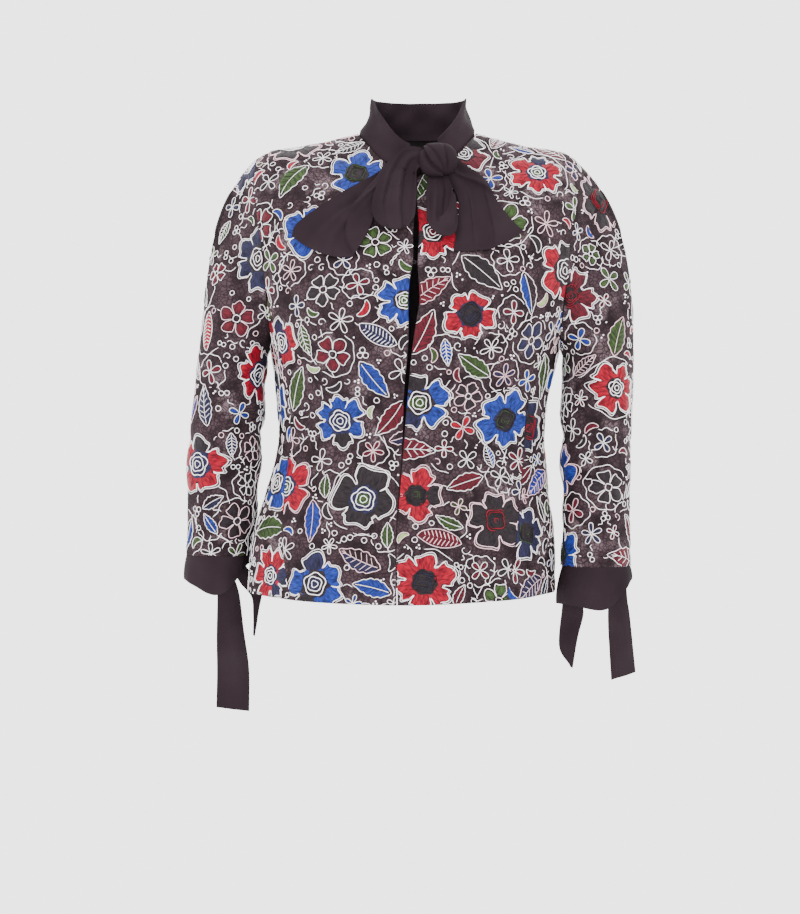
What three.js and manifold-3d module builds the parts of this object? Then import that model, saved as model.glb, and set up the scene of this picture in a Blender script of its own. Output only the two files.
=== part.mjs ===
// A short fitted jacket in embroidered net, held open in its worn shape: two fronts that meet edge to
// edge, two side panels, a back, set-in bracelet sleeves with silk cuffs tied at the wrist, and a silk
// neck band that ends in a bow. Every piece of cloth is its own closed wall, 0.3 mm from its neighbours.
//
// Millimetres. +X is the wearer's left, -Y the front and +Z up. The origin is the middle of the neck
// opening, at the height where the shoulder seams meet the neck band.
import Module from "manifold-3d";
import * as THREE from "three";
import { mergeVertices } from "three/addons/utils/BufferGeometryUtils.js";

const DEG = Math.PI / 180;
const SEAM_GAP = 0.3; // between two pieces that are sewn together
const SEAM_INSET = 0.2; // by which each piece stays inside its seam line
const CLOTH = 1.8; // the embroidered net
const SILK = 1.2; // the neck band, bow, cuffs and ties, two layers of crepe

// The body's sections, from the hem to the neckline. up is the way up the side seam and the shoulder,
// centre the middle's X, turn the twist of the worn jacket in degrees, half the half width, front and
// back the depths, square how boxy the section is (2 is an ellipse), zFront, zSide and zBack its
// heights, and seam the angle of the front panel seam from the centre front, in degrees.
const BODY = [
  { up: 0, centre: -16.5, turn: -1.3, half: 174, front: 127, back: 120, square: 2.15, zFront: -516, zSide: -507, zBack: -510, seam: 42 },
  { up: 62, centre: -14, turn: -2.5, half: 172.5, front: 119, back: 115, square: 2.2, zFront: -450, zSide: -447, zBack: -449, seam: 47 },
  { up: 115, centre: -9.5, turn: -3.2, half: 163.5, front: 108, back: 105, square: 2.2, zFront: -400, zSide: -397, zBack: -398, seam: 52 },
  { up: 167, centre: -4.5, turn: -3.6, half: 155, front: 102, back: 96, square: 2.2, zFront: -345, zSide: -345, zBack: -345, seam: 56 },
  { up: 227, centre: -3, turn: -2.8, half: 156.5, front: 112, back: 99, square: 2.3, zFront: -283, zSide: -285, zBack: -284, seam: 55 },
  { up: 285, centre: 0, turn: -1.5, half: 166, front: 125, back: 105, square: 2.4, zFront: -214, zSide: -228, zBack: -216, seam: 56 },
  { up: 385, centre: 1.5, turn: -0.8, half: 187, front: 117, back: 112, square: 2.55, zFront: -150, zSide: -128, zBack: -140, seam: 62 },
  { up: 497, centre: 1, turn: 0, half: 179, front: 95, back: 98, square: 2.3, zFront: -94, zSide: -9, zBack: -56, seam: 62 },
  { up: 556, centre: 1, turn: 0, half: 122, front: 80, back: 84, square: 2.1, zFront: -62, zSide: 4.5, zBack: -16, seam: 62 },
  { up: 609, centre: 2, turn: 0, half: 68, front: 66, back: 62, square: 2, zFront: -36, zSide: 18, zBack: 20, seam: 62 },
];
const HEM = 0;
const NECKLINE = 609;

// Bust fullness, shaped by the panel seams.
const BUST = { angle: 31 * DEG, spread: 17 * DEG, up: 292, reach: 62, fullness: 11 };

// The hem flares in soft flutes that die out below the waist.
const FLUTE = { count: 9, depth: 2.4, top: 150, phase: 0.6 };

// Upright folds where the cloth is taken in at the waist: their angle from the centre front, level,
// half width, reach up and down, and depth.
const WAIST_FOLDS = [
  { angle: -74, level: 205, width: 6, reach: 88, depth: 4.5 },
  { angle: -92, level: 175, width: 7, reach: 70, depth: 3.5 },
  { angle: 70, level: 215, width: 6, reach: 85, depth: 4.5 },
  { angle: 90, level: 185, width: 7, reach: 75, depth: 3.5 },
  { angle: 148, level: 205, width: 8, reach: 70, depth: 3 },
  { angle: -150, level: 195, width: 8, reach: 75, depth: 3 },
];

// The gap between the two front edges: closed at the neck and the skirt, open between the hooks.
const OPENING = [
  { up: 0, gap: 0.8 },
  { up: 115, gap: 0.9 },
  { up: 188, gap: 1.4 },
  { up: 225, gap: 3 },
  { up: 270, gap: 3.6 },
  { up: 328, gap: 9 },
  { up: 372, gap: 6 },
  { up: 405, gap: 3.4 },
  { up: 480, gap: 3.6 },
  { up: 545, gap: 1.2 },
  { up: 609, gap: 0.8 },
];

// The armhole, as an oval on the body: its lowest and highest level, how far it reaches forwards and
// backwards of the side, and where the panel seams run into it.
const ARMHOLE = { low: 285, high: 497, front: 30 * DEG, back: 32 * DEG, join: 60 * DEG };
const FRONT_SEAM_BEND = 200; // the level above which the front panel seam turns towards the armhole
const BACK_SEAM = [
  { up: 0, angle: 138 },
  { up: 167, angle: 125 },
  { up: 338, angle: 117.7 },
];

// How finely each piece is divided.
const SEAM_ROWS = 13; // up the panel seams, hem to armhole
const ARMHOLE_ROWS = 7; // from the panel seam to the shoulder, front and back alike
const SHOULDER_ROWS = 4;
const FRONT_COLUMNS = 8;
const SIDE_COLUMNS = 10;
const BACK_COLUMNS = 18;

// The sleeves below the armhole, each a table of level rings: z, middle, half width and half depth.
const SLEEVE_RIGHT = [
  { z: -240, x: -209.5, y: 2, halfX: 40, halfY: 55 },
  { z: -285, x: -213.5, y: 1, halfX: 41, halfY: 51 },
  { z: -325, x: -217, y: 1, halfX: 41.5, halfY: 48 },
  { z: -365, x: -220.5, y: 3, halfX: 42, halfY: 46 },
  { z: -407, x: -222, y: 7, halfX: 40, halfY: 45 },
  { z: -440, x: -224, y: 11, halfX: 38.5, halfY: 44 },
  { z: -466, x: -227, y: 14, halfX: 37, halfY: 43 },
];
const SLEEVE_LEFT = [
  { z: -240, x: 210.5, y: 2, halfX: 40.5, halfY: 55 },
  { z: -285, x: 209, y: -2, halfX: 41, halfY: 51 },
  { z: -325, x: 208, y: -6, halfX: 40, halfY: 48 },
  { z: -365, x: 207.5, y: -10, halfX: 39, halfY: 46 },
  { z: -407, x: 207.5, y: -15, halfX: 38, halfY: 45 },
  { z: -440, x: 207, y: -19, halfX: 38, halfY: 44 },
  { z: -477, x: 206.5, y: -23, halfX: 39, halfY: 43 },
];
const SLEEVE_LEAN = { right: 0.13, left: -0.02 }; // the slope of the upper arm's outer edge
// The sleeve cap: how strongly it leaves the armhole and enters the first ring, as shares of the way
// between them, and how high on the armhole it starts to swing out.
const CAP = { leave: 0.34, enter: 0.4, swingFrom: 0.2, swingOver: 0.45, underarm: 0.3 };
const CAP_ROWS = 8;
const SLEEVE_ROWS = 11;
const SLEEVE_CREASE = { depth: 1.6, length: 58, slant: 0.9 };

// The silk cuffs: how far the band drops at each quarter of the wrist, and how it swings out at the
// body's side and at the far side.
const CUFF_ROWS = 4;
const CUFF_RIGHT = { inner: 8, front: 44, outer: 27, back: 12, innerFlare: 1, outerFlare: 3 };
const CUFF_LEFT = { inner: 42, front: 48, outer: 14, back: 34, innerFlare: 6.5, outerFlare: 2 };

// The neck band stands on the neckline and leans in to its top edge.
const BAND = { frontHeight: 34, sideHeight: 41, rows: 4, topCentre: 4.5, topHalf: 54.5, topFront: 61, topBack: 54 };

// The bow. A strip of silk is a table of stations along it: its a edge and b edge across, each with x, z
// and how far it stands off the body, the height of its pleats there (fold), and how far the middle
// sags below a straight line between the edges.
const PLEAT_START = 0.13; // where on its wave each strip's pleats start
const KNOT = { x: 24.5, y: -82, z: -21.5, width: 44, depth: 30, height: 46, folds: 3, groove: 0.08, slant: 0.7, blunt: 0.2 };
const BOW_LOOP_RIGHT = [
  { xa: 14, za: -8, ya: 15, xb: 11, zb: -26, yb: 18, fold: 0.6, sag: 0 },
  { xa: -14, za: -6, ya: 16, xb: 2, zb: -33, yb: 20, fold: 1, sag: 0 },
  { xa: -33, za: -24, ya: 16, xb: 1.5, zb: -46, yb: 20, fold: 1.2, sag: 0 },
  { xa: -43, za: -48, ya: 15, xb: 1.5, zb: -60, yb: 19, fold: 1.4, sag: 0 },
  { xa: -47, za: -70, ya: 14, xb: 0.5, zb: -74, yb: 18, fold: 1.4, sag: 0 },
  { xa: -41, za: -88, ya: 14, xb: -1.5, zb: -88, yb: 16, fold: 1.4, sag: 3 },
  { xa: -29, za: -98, ya: 12, xb: -9, zb: -97, yb: 13, fold: 0.8, sag: 2 },
  { xa: -36, za: -88, ya: 8.5, xb: -4.5, zb: -84, yb: 9, fold: 0.5, sag: 2 },
  { xa: -38, za: -70, ya: 8, xb: -3.5, zb: -68, yb: 9, fold: 0.5, sag: 0 },
  { xa: -33, za: -49, ya: 8, xb: -3.5, zb: -49, yb: 9, fold: 0.5, sag: 0 },
  { xa: -19, za: -31, ya: 8, xb: -2.5, zb: -33, yb: 9, fold: 0.5, sag: 0 },
  { xa: 8, za: -22, ya: 9, xb: 9, zb: -29, yb: 10, fold: 0.3, sag: 0 },
];
const BOW_LOOP_LEFT = [
  { xa: 14, za: -34, ya: 14, xb: 34, zb: -34, yb: 15, fold: 0.4, sag: 0 },
  { xa: 12, za: -58, ya: 8, xb: 41, zb: -54, yb: 10, fold: 0.8, sag: 0 },
  { xa: 12, za: -76, ya: 8, xb: 39, zb: -72, yb: 9, fold: 0.8, sag: 0 },
  { xa: 13, za: -91, ya: 9, xb: 26, zb: -85, yb: 10, fold: 0.6, sag: 0 },
  { xa: 20, za: -103, ya: 14, xb: 23, zb: -87, yb: 16, fold: 0.3, sag: 0 },
  { xa: 31, za: -109, ya: 15, xb: 30, zb: -86, yb: 21, fold: 0.3, sag: 0 },
  { xa: 43, za: -106, ya: 14, xb: 36, zb: -77, yb: 21, fold: 0.6, sag: 0 },
  { xa: 47, za: -91, ya: 12, xb: 39, zb: -65, yb: 17, fold: 0.6, sag: 0 },
  { xa: 46, za: -70, ya: 11, xb: 40, zb: -50, yb: 14, fold: 0.4, sag: 0 },
];
const BOW_TAIL_RIGHT = [
  { xa: 14, za: -14, ya: 6, xb: 12, zb: -31, yb: 5.5, fold: 0.4, sag: 0 },
  { xa: -17, za: -13, ya: 5.6, xb: -8, zb: -51, yb: 4.6, fold: 1, sag: 0 },
  { xa: -31, za: -19, ya: 6, xb: -29, zb: -67, yb: 5, fold: 1, sag: 0 },
  { xa: -47, za: -35, ya: 5.5, xb: -48, zb: -75, yb: 5.5, fold: 1.1, sag: 0 },
  { xa: -90, za: -61, ya: 5.5, xb: -53, zb: -91, yb: 6, fold: 1.1, sag: 0 },
  { xa: -131, za: -89, ya: 5.5, xb: -60, zb: -112, yb: 5.5, fold: 1.1, sag: 6 },
  { xa: -138, za: -101, ya: 5.5, xb: -69, zb: -131, yb: 5, fold: 1.1, sag: 12 },
];
const BOW_TAIL_LEFT = [
  { xa: 36, za: -10, ya: 15, xb: 32, zb: -33, yb: 14, fold: 0.5, sag: 0 },
  { xa: 57, za: -26, ya: 9, xb: 41, zb: -50, yb: 6, fold: 1, sag: 0 },
  { xa: 78, za: -43, ya: 5, xb: 47, zb: -64, yb: 4, fold: 1.2, sag: 0 },
  { xa: 88, za: -63, ya: 4, xb: 48, zb: -79, yb: 3.5, fold: 1.2, sag: 0 },
  { xa: 105, za: -88, ya: 3, xb: 45, zb: -104, yb: 3, fold: 1.2, sag: 4 },
  { xa: 120, za: -103, ya: 2.4, xb: 42, zb: -125, yb: 2.4, fold: 1.2, sag: 9 },
];

// The larger folds of the bow's pieces. Each runs from one share of the width at the knot to another at
// the far end, between two shares of the length, with its half width as a share, its height (a trough
// where below 0) and how steep its far side is.
const BOW_FOLDS = {
  bow_loop_right: [
    { from: 0.3, to: 0.16, start: 0, end: 0.56, width: 0.17, height: 2.6, steep: 0.6 },
    { from: 0.5, to: 0.78, start: 0.04, end: 0.56, width: 0.1, height: -4.2, steep: 0.7 },
    { from: 0.85, to: 0.85, start: 0, end: 0.5, width: 0.12, height: 1.6, steep: 1 },
  ],
  bow_loop_left: [{ from: 0.35, to: 0.35, start: 0, end: 0.45, width: 0.2, height: -2, steep: 0.6 }],
  bow_tail_right: [
    { from: -0.7, to: 1, start: 0.1, end: 1.4, width: 0.15, height: 3.2, steep: 0.35 },
    { from: 0.55, to: 0.2, start: 0.4, end: 1.3, width: 0.12, height: 1.4, steep: 1 },
  ],
  bow_tail_left: [
    { from: 0.75, to: -0.55, start: 0, end: 0.8, width: 0.14, height: 2.8, steep: 0.4 },
    { from: -0.1, to: 0.4, start: 0.3, end: 1.5, width: 0.11, height: 2.4, steep: 0.45 },
    { from: 0.6, to: 0.68, start: 0.3, end: 1.5, width: 0.11, height: 2, steep: 0.5 },
  ],
};

// The wrist ties hang free, so their ya and yb are true depths, behind the middle of the jacket.
const TIE_RIGHT_LONG = [
  { xa: -225, za: -497, ya: -28, xb: -207, zb: -490, yb: -19, fold: 0.3, sag: 0 },
  { xa: -225, za: -520, ya: -25, xb: -201, zb: -511, yb: -14, fold: 1, sag: 0 },
  { xa: -226, za: -560, ya: -22, xb: -196, zb: -553, yb: -12, fold: 1.6, sag: 0 },
  { xa: -226, za: -600, ya: -20, xb: -190, zb: -596, yb: -12, fold: 1.2, sag: 0 },
  { xa: -227, za: -639, ya: -18, xb: -190, zb: -644, yb: -12, fold: 0.8, sag: 0 },
];
const TIE_RIGHT_SHORT = [
  { xa: -214, za: -484, ya: 57.2, xb: -203, zb: -474, yb: 50.2, fold: 0.2, sag: 0 },
  { xa: -205, za: -501, ya: 60, xb: -190, zb: -492, yb: 58, fold: 0.4, sag: 0 },
  { xa: -192, za: -517, ya: 62, xb: -180, zb: -508, yb: 62, fold: 0.6, sag: 0 },
  { xa: -190, za: -537, ya: 63, xb: -183, zb: -532, yb: 63, fold: 0.4, sag: 0 },
  { xa: -190, za: -562, ya: 64, xb: -188, zb: -564, yb: 64, fold: 0, sag: 0 },
];
const TIE_LEFT_SHORT = [
  { xa: 168.4, za: -505, ya: -41.4, xb: 183.6, zb: -509, yb: -62, fold: 0.3, sag: 0 },
  { xa: 166, za: -527, ya: -37, xb: 189, zb: -528, yb: -56, fold: 1, sag: 0 },
  { xa: 163, za: -568, ya: -38, xb: 183, zb: -556, yb: -52, fold: 1, sag: 0 },
  { xa: 176, za: -590, ya: -42, xb: 178, zb: -592, yb: -43, fold: 0, sag: 0 },
];
const TIE_LEFT_LONG = [
  { xa: 221, za: -506, ya: -62.2, xb: 238, zb: -491, yb: -48.2, fold: 0.3, sag: 0 },
  { xa: 218, za: -524, ya: -58, xb: 240, zb: -513, yb: -44, fold: 1, sag: 0 },
  { xa: 219, za: -556, ya: -52, xb: 244, zb: -538, yb: -40, fold: 1.6, sag: 0 },
  { xa: 222, za: -605, ya: -48, xb: 250, zb: -597, yb: -38, fold: 1, sag: 0 },
];

// One hook and eye closes the fronts below the bow: bent black wire behind the cloth.
const HOOK = { level: 408, wire: 0.45, eyeReach: 6, eyeHalf: 1.7, hookReach: 7, bill: 1.6 };

const SILK_BLACK = { color: 0x2b2629, roughness: 0.62, metalness: 0 };
const NET_BLACK = { color: 0x2a2526, roughness: 0.8, metalness: 0 };
const WIRE_BLACK = { color: 0x161516, roughness: 0.4, metalness: 0.6 };

const jacket = new THREE.Group();

// A mesh of that name and finish, added to the jacket.
function addPiece(name, geometry, finish) {
  const mesh = new THREE.Mesh(geometry, new THREE.MeshStandardMaterial(finish));
  mesh.name = name;
  jacket.add(mesh);
}

const mix = (a, b, t) => a + (b - a) * t;
const clamp01 = (t) => Math.min(1, Math.max(0, t));
const ease = (t) => clamp01(t) ** 2 * (3 - 2 * clamp01(t));
const bell = (t) => Math.exp(-t * t);

// Every number of a table at a place between its rows, on a smooth curve through them. key names the
// column that places the rows, which rises or falls all the way.
function between(table, key, at) {
  const sign = Math.sign(table.at(-1)[key] - table[0][key]);
  const place = (i) => table[i][key] * sign;
  const last = table.length - 1;
  let i = 0;
  while (i < last - 1 && at * sign > place(i + 1)) i++;
  const step = place(i + 1) - place(i);
  const t = clamp01((at * sign - place(i)) / step);
  const slope = (k, column) => {
    const a = Math.max(0, k - 1);
    const b = Math.min(last, k + 1);
    if (a === k || b === k) return (table[b][column] - table[a][column]) / (place(b) - place(a));
    const before = place(k) - place(a);
    const after = place(b) - place(k);
    const down = (table[k][column] - table[a][column]) / before;
    const up = (table[b][column] - table[k][column]) / after;
    return (down * after + up * before) / (before + after);
  };
  const found = {};
  for (const column of Object.keys(table[0])) {
    const p = table[i][column];
    const q = table[i + 1][column];
    const h00 = (1 + 2 * t) * (1 - t) ** 2;
    const h10 = t * (1 - t) ** 2;
    const h01 = t * t * (3 - 2 * t);
    const h11 = t * t * (t - 1);
    found[column] = h00 * p + h10 * step * slope(i, column) + h01 * q + h11 * step * slope(i + 1, column);
  }
  return found;
}

// The point of the body at an angle from the centre front (positive to the wearer's left) and a level.
function body(angle, level) {
  const s = between(BODY, "up", level);
  const a = angle + s.turn * DEG;
  const side = Math.sin(a);
  const ahead = Math.cos(a);
  const r = (Math.abs(side) ** s.square + Math.abs(ahead) ** s.square) ** (-1 / s.square);
  const depth = ahead > 0 ? s.front : s.back;
  const end = ahead > 0 ? s.zFront : s.zBack;
  const bust = BUST.fullness * bell((Math.abs(angle) - BUST.angle) / BUST.spread) * bell((level - BUST.up) / BUST.reach);
  const flute = FLUTE.depth * Math.sin(FLUTE.count * angle + FLUTE.phase) * (1 - ease(level / FLUTE.top));
  let folds = 0;
  for (const f of WAIST_FOLDS) {
    const away = ((angle / DEG - f.angle + 540) % 360) - 180;
    folds += f.depth * bell(away / f.width) * bell((level - f.level) / f.reach);
  }
  const out = bust + flute - folds;
  return new THREE.Vector3(
    s.centre + (s.half * r + out) * side,
    -(depth * r + out) * ahead,
    mix(end, s.zSide, side * side),
  );
}

// Which way the cloth faces there.
function bodyNormal(angle, level) {
  const d = 0.01;
  const up = Math.min(level, NECKLINE - 1);
  const across = body(angle + d, up).sub(body(angle - d, up));
  const along = body(angle, up + 1).sub(body(angle, Math.max(HEM, up - 1)));
  return across.cross(along).normalize();
}

// The armhole's place on the body, from the underarm (0) by the front (90 degrees) to the shoulder
// (180) and down the back. side is 1 for the wearer's left and -1 for the right.
function armhole(turn, side) {
  const level = mix(ARMHOLE.low, ARMHOLE.high, (1 - Math.cos(turn)) / 2);
  const reach = Math.sin(turn) > 0 ? ARMHOLE.front : ARMHOLE.back;
  return { angle: side * (90 * DEG - reach * Math.sin(turn)), level };
}

const JOIN_LEVEL = armhole(ARMHOLE.join, 1).level;

// The angle of the front and back panel seams at a level.
function frontSeam(level, side) {
  const join = armhole(ARMHOLE.join, 1).angle;
  const free = between(BODY, "up", level).seam * DEG;
  return side * mix(free, join, ease((level - FRONT_SEAM_BEND) / (JOIN_LEVEL - FRONT_SEAM_BEND)));
}
const backSeam = (level, side) => side * between(BACK_SEAM, "up", level).angle * DEG;

// The rows of a front or back panel: the place on its outer edge and the level at the centre line.
function panelRows(side, seam, firstTurn) {
  const rows = [];
  for (let i = 0; i <= SEAM_ROWS; i++) {
    const level = (JOIN_LEVEL * i) / SEAM_ROWS;
    rows.push({ edge: { angle: seam(level, side), level }, centre: level });
  }
  for (let i = 1; i <= ARMHOLE_ROWS; i++) {
    const t = i / ARMHOLE_ROWS;
    rows.push({ edge: armhole(mix(firstTurn, Math.PI, t), side), centre: mix(JOIN_LEVEL, ARMHOLE.high, t) });
  }
  for (let i = 1; i <= SHOULDER_ROWS; i++) {
    const level = mix(ARMHOLE.high, NECKLINE, i / SHOULDER_ROWS);
    rows.push({ edge: { angle: side * 90 * DEG, level }, centre: level });
  }
  return rows;
}

// The places of a grid between a left edge and a right edge.
const acrossRow = (left, right, columns) =>
  Array.from({ length: columns + 1 }, (_, j) => ({
    angle: mix(left.angle, right.angle, j / columns),
    level: mix(left.level, right.level, j / columns),
  }));

// A front panel, from the centre front edge to the side.
function frontPlaces(side) {
  return panelRows(side, frontSeam, ARMHOLE.join).map((row) => {
    const depth = between(BODY, "up", row.centre).front;
    const halfGap = between(OPENING, "up", row.centre).gap / 2;
    const centre = { angle: (side * (halfGap - SEAM_GAP / 2)) / depth, level: row.centre };
    return acrossRow(centre, row.edge, FRONT_COLUMNS);
  });
}

// The back, from one side round to the other.
function backPlaces() {
  const left = panelRows(1, backSeam, 2 * Math.PI - ARMHOLE.join);
  return left.map(({ edge }) => {
    const far = { angle: 2 * Math.PI - edge.angle, level: edge.level };
    const middle = { angle: Math.PI, level: edge.level };
    const half = BACK_COLUMNS / 2;
    return [...acrossRow(edge, middle, half), ...acrossRow(middle, far, half).slice(1)];
  });
}

// A side panel, from the front seam to the back seam and up to the underarm.
function sidePlaces(side) {
  const rows = [];
  for (let i = 0; i <= SEAM_ROWS; i++) {
    const v = i / SEAM_ROWS;
    const level = JOIN_LEVEL * v;
    const front = frontSeam(level, side);
    const back = backSeam(level, side);
    rows.push(
      Array.from({ length: SIDE_COLUMNS + 1 }, (_, j) => {
        const c = j / SIDE_COLUMNS;
        const top = armhole(mix(ARMHOLE.join, -ARMHOLE.join, c), side);
        const straight = mix(armhole(ARMHOLE.join, side).angle, armhole(-ARMHOLE.join, side).angle, c);
        return {
          angle: mix(front, back, c) + v * (top.angle - straight),
          level: top.level * v,
        };
      }),
    );
  }
  return rows;
}

// A closed body from an outer and an inner grid of points. round joins the first and last columns.
function closedWall(outer, inner, round = false) {
  const rows = outer.length;
  const columns = outer[0].length;
  const positions = [...outer, ...inner].flat().flatMap((p) => p.toArray());
  const out = (i, j) => i * columns + (j % columns);
  const into = (i, j) => out(i, j) + rows * columns;
  const index = [];
  const face = (a, b, c, d) => index.push(a, b, c, a, c, d);
  const lastColumn = round ? columns : columns - 1;
  for (let i = 0; i < rows - 1; i++) {
    for (let j = 0; j < lastColumn; j++) {
      face(out(i, j), out(i, j + 1), out(i + 1, j + 1), out(i + 1, j));
      face(into(i, j), into(i + 1, j), into(i + 1, j + 1), into(i, j + 1));
    }
  }
  for (let j = 0; j < lastColumn; j++) {
    face(out(0, j), into(0, j), into(0, j + 1), out(0, j + 1));
    face(out(rows - 1, j), out(rows - 1, j + 1), into(rows - 1, j + 1), into(rows - 1, j));
  }
  for (let i = 0; i < rows - 1 && !round; i++) {
    face(out(i, 0), out(i + 1, 0), into(i + 1, 0), into(i, 0));
    face(out(i, columns - 1), into(i, columns - 1), into(i + 1, columns - 1), out(i + 1, columns - 1));
  }
  return facingOut(positions, index);
}

// A geometry of those triangles, turned round if they enclose a negative volume.
function facingOut(positions, index) {
  const point = (i) => new THREE.Vector3(...positions.slice(3 * i, 3 * i + 3));
  let volume = 0;
  for (let i = 0; i < index.length; i += 3) {
    volume += point(index[i]).dot(point(index[i + 1]).cross(point(index[i + 2])));
  }
  const geometry = new THREE.BufferGeometry();
  geometry.setAttribute("position", new THREE.Float32BufferAttribute(positions, 3));
  geometry.setIndex(volume < 0 ? index.reverse() : index);
  return geometry;
}

// A body panel: its places' points, drawn in from each edge by half a seam gap, and a wall inside them.
function bodyPanel(places) {
  const points = places.map((row) => row.map((p) => body(p.angle, p.level)));
  const normals = places.map((row) => row.map((p) => bodyNormal(p.angle, p.level)));
  const rows = points.length - 1;
  const columns = points[0].length - 1;
  const outer = points.map((row, i) =>
    row.map((p, j) => {
      const up = points[Math.min(i + 1, rows)][j].clone().sub(points[Math.max(i - 1, 0)][j]);
      const across = row[Math.min(j + 1, columns)].clone().sub(row[Math.max(j - 1, 0)]);
      const facing = across.clone().cross(up).dot(normals[i][j]) > 0 ? 1 : -1;
      const inFromSide = up.clone().cross(normals[i][j]).setLength(facing * SEAM_INSET);
      const inFromEnd = normals[i][j].clone().cross(across).setLength(facing * SEAM_INSET);
      const moved = p.clone();
      if (j === 0) moved.add(inFromSide);
      if (j === columns) moved.sub(inFromSide);
      if (i === 0) moved.add(inFromEnd);
      if (i === rows) moved.sub(inFromEnd);
      return moved;
    }),
  );
  const inner = outer.map((row, i) => row.map((p, j) => p.clone().addScaledVector(normals[i][j], -CLOTH)));
  return closedWall(outer, inner);
}

// The turns of the armhole at which the body and the sleeve meet point to point.
function armholeTurns() {
  const turns = [];
  for (let i = 0; i < ARMHOLE_ROWS; i++) turns.push(mix(ARMHOLE.join, Math.PI, i / ARMHOLE_ROWS));
  for (let i = 0; i < ARMHOLE_ROWS; i++) {
    turns.push(mix(Math.PI, 2 * Math.PI - ARMHOLE.join, i / ARMHOLE_ROWS));
  }
  for (let i = 0; i < SIDE_COLUMNS; i++) {
    turns.push(mix(2 * Math.PI - ARMHOLE.join, 2 * Math.PI + ARMHOLE.join, i / SIDE_COLUMNS));
  }
  return turns;
}

// A ring of the sleeve at that height: turn 0 faces the body and 90 degrees the front.
function sleeveRing(table, z, turn, side) {
  const s = between(table, "z", z);
  const low = (table[0].z - z) / (table[0].z - table.at(-1).z);
  const crease = Math.sin((2 * Math.PI * z) / SLEEVE_CREASE.length + SLEEVE_CREASE.slant * Math.cos(turn) * Math.PI);
  const soft = SLEEVE_CREASE.depth * crease * Math.sin(Math.PI * clamp01(low)) * (0.6 + 0.4 * Math.cos(turn));
  return new THREE.Vector3(
    s.x - side * (s.halfX + soft) * Math.cos(turn),
    s.y - (s.halfY + soft) * Math.sin(turn),
    z,
  );
}

// The sleeve's way over the cap: from the armhole, out along the shoulder, and down to the first ring.
function capPoint(table, turn, side, t) {
  const place = armhole(turn, side);
  const from = body(place.angle, place.level);
  const normal = bodyNormal(place.angle, place.level);
  const near = armhole(turn + DEG, side);
  const far = armhole(turn - DEG, side);
  const rim = body(near.angle, near.level).sub(body(far.angle, far.level));
  const into = rim.cross(normal).normalize().multiplyScalar(side);
  const high = (1 - Math.cos(turn)) / 2;
  const downwards = new THREE.Vector3(side * CAP.underarm, 0, -1).normalize();
  const away = downwards.lerp(into, ease((high - CAP.swingFrom) / CAP.swingOver)).normalize();
  from.addScaledVector(away, SEAM_GAP).addScaledVector(normal, SEAM_GAP * (1 - ease(high / CAP.underarm)));
  const to = sleeveRing(table, table[0].z, turn, side);
  const reach = from.distanceTo(to);
  const first = from.clone().addScaledVector(away, reach * CAP.leave);
  const lean = SLEEVE_LEAN[side > 0 ? "left" : "right"] * (0.5 - Math.cos(turn) / 2);
  const second = to.clone().add(new THREE.Vector3(-side * lean, 0, 1).multiplyScalar(reach * CAP.enter));
  return new THREE.CubicBezierCurve3(from, first, second, to).getPoint(t);
}

// The sleeve's rings of points, from the armhole to the wrist.
function sleeveRings(table, side) {
  const turns = armholeTurns();
  const rings = [];
  for (let i = 0; i <= CAP_ROWS; i++) rings.push(turns.map((turn) => capPoint(table, turn, side, i / CAP_ROWS)));
  for (let i = 1; i <= SLEEVE_ROWS; i++) {
    const z = mix(table[0].z, table.at(-1).z, i / SLEEVE_ROWS);
    rings.push(turns.map((turn) => sleeveRing(table, z, turn, side)));
  }
  return rings;
}

// Which way a tube's cloth faces at each point of its rings.
function tubeNormals(rings, side) {
  const count = rings[0].length;
  return rings.map((ring, i) =>
    ring.map((p, j) => {
      const along = rings[Math.min(i + 1, rings.length - 1)][j].clone().sub(rings[Math.max(i - 1, 0)][j]);
      const around = ring[(j + 1) % count].clone().sub(ring[(j + count - 1) % count]);
      return around.cross(along).normalize().multiplyScalar(-side);
    }),
  );
}

// A tube's wall of that thickness inside its rings.
function tubeWall(rings, side, thickness) {
  const normals = tubeNormals(rings, side);
  const inner = rings.map((ring, i) => ring.map((p, j) => p.clone().addScaledVector(normals[i][j], -thickness)));
  return closedWall(rings, inner, true);
}

// The cuff below a sleeve: it starts a seam gap under the last ring and drops to a slanting edge.
function cuffRings(lastRing, table, cuff) {
  const turns = armholeTurns();
  const end = table.at(-1);
  const rings = [];
  for (let i = 0; i <= CUFF_ROWS; i++) {
    const t = i / CUFF_ROWS;
    rings.push(
      lastRing.map((p, j) => {
        const inward = (1 + Math.cos(turns[j])) / 2;
        const ahead = Math.sin(turns[j]);
        const sideways = mix(cuff.outer, cuff.inner, ease(inward));
        const drop = mix(sideways, ahead > 0 ? cuff.front : cuff.back, Math.abs(ahead) ** 3);
        const out = new THREE.Vector3(p.x - end.x, p.y - end.y, 0).normalize();
        const swing = mix(cuff.outerFlare, cuff.innerFlare, inward) * Math.sin(Math.PI * 0.6 * t);
        return p.clone().addScaledVector(out, swing).setZ(p.z - SEAM_GAP - drop * t);
      }),
    );
  }
  return rings;
}

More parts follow.
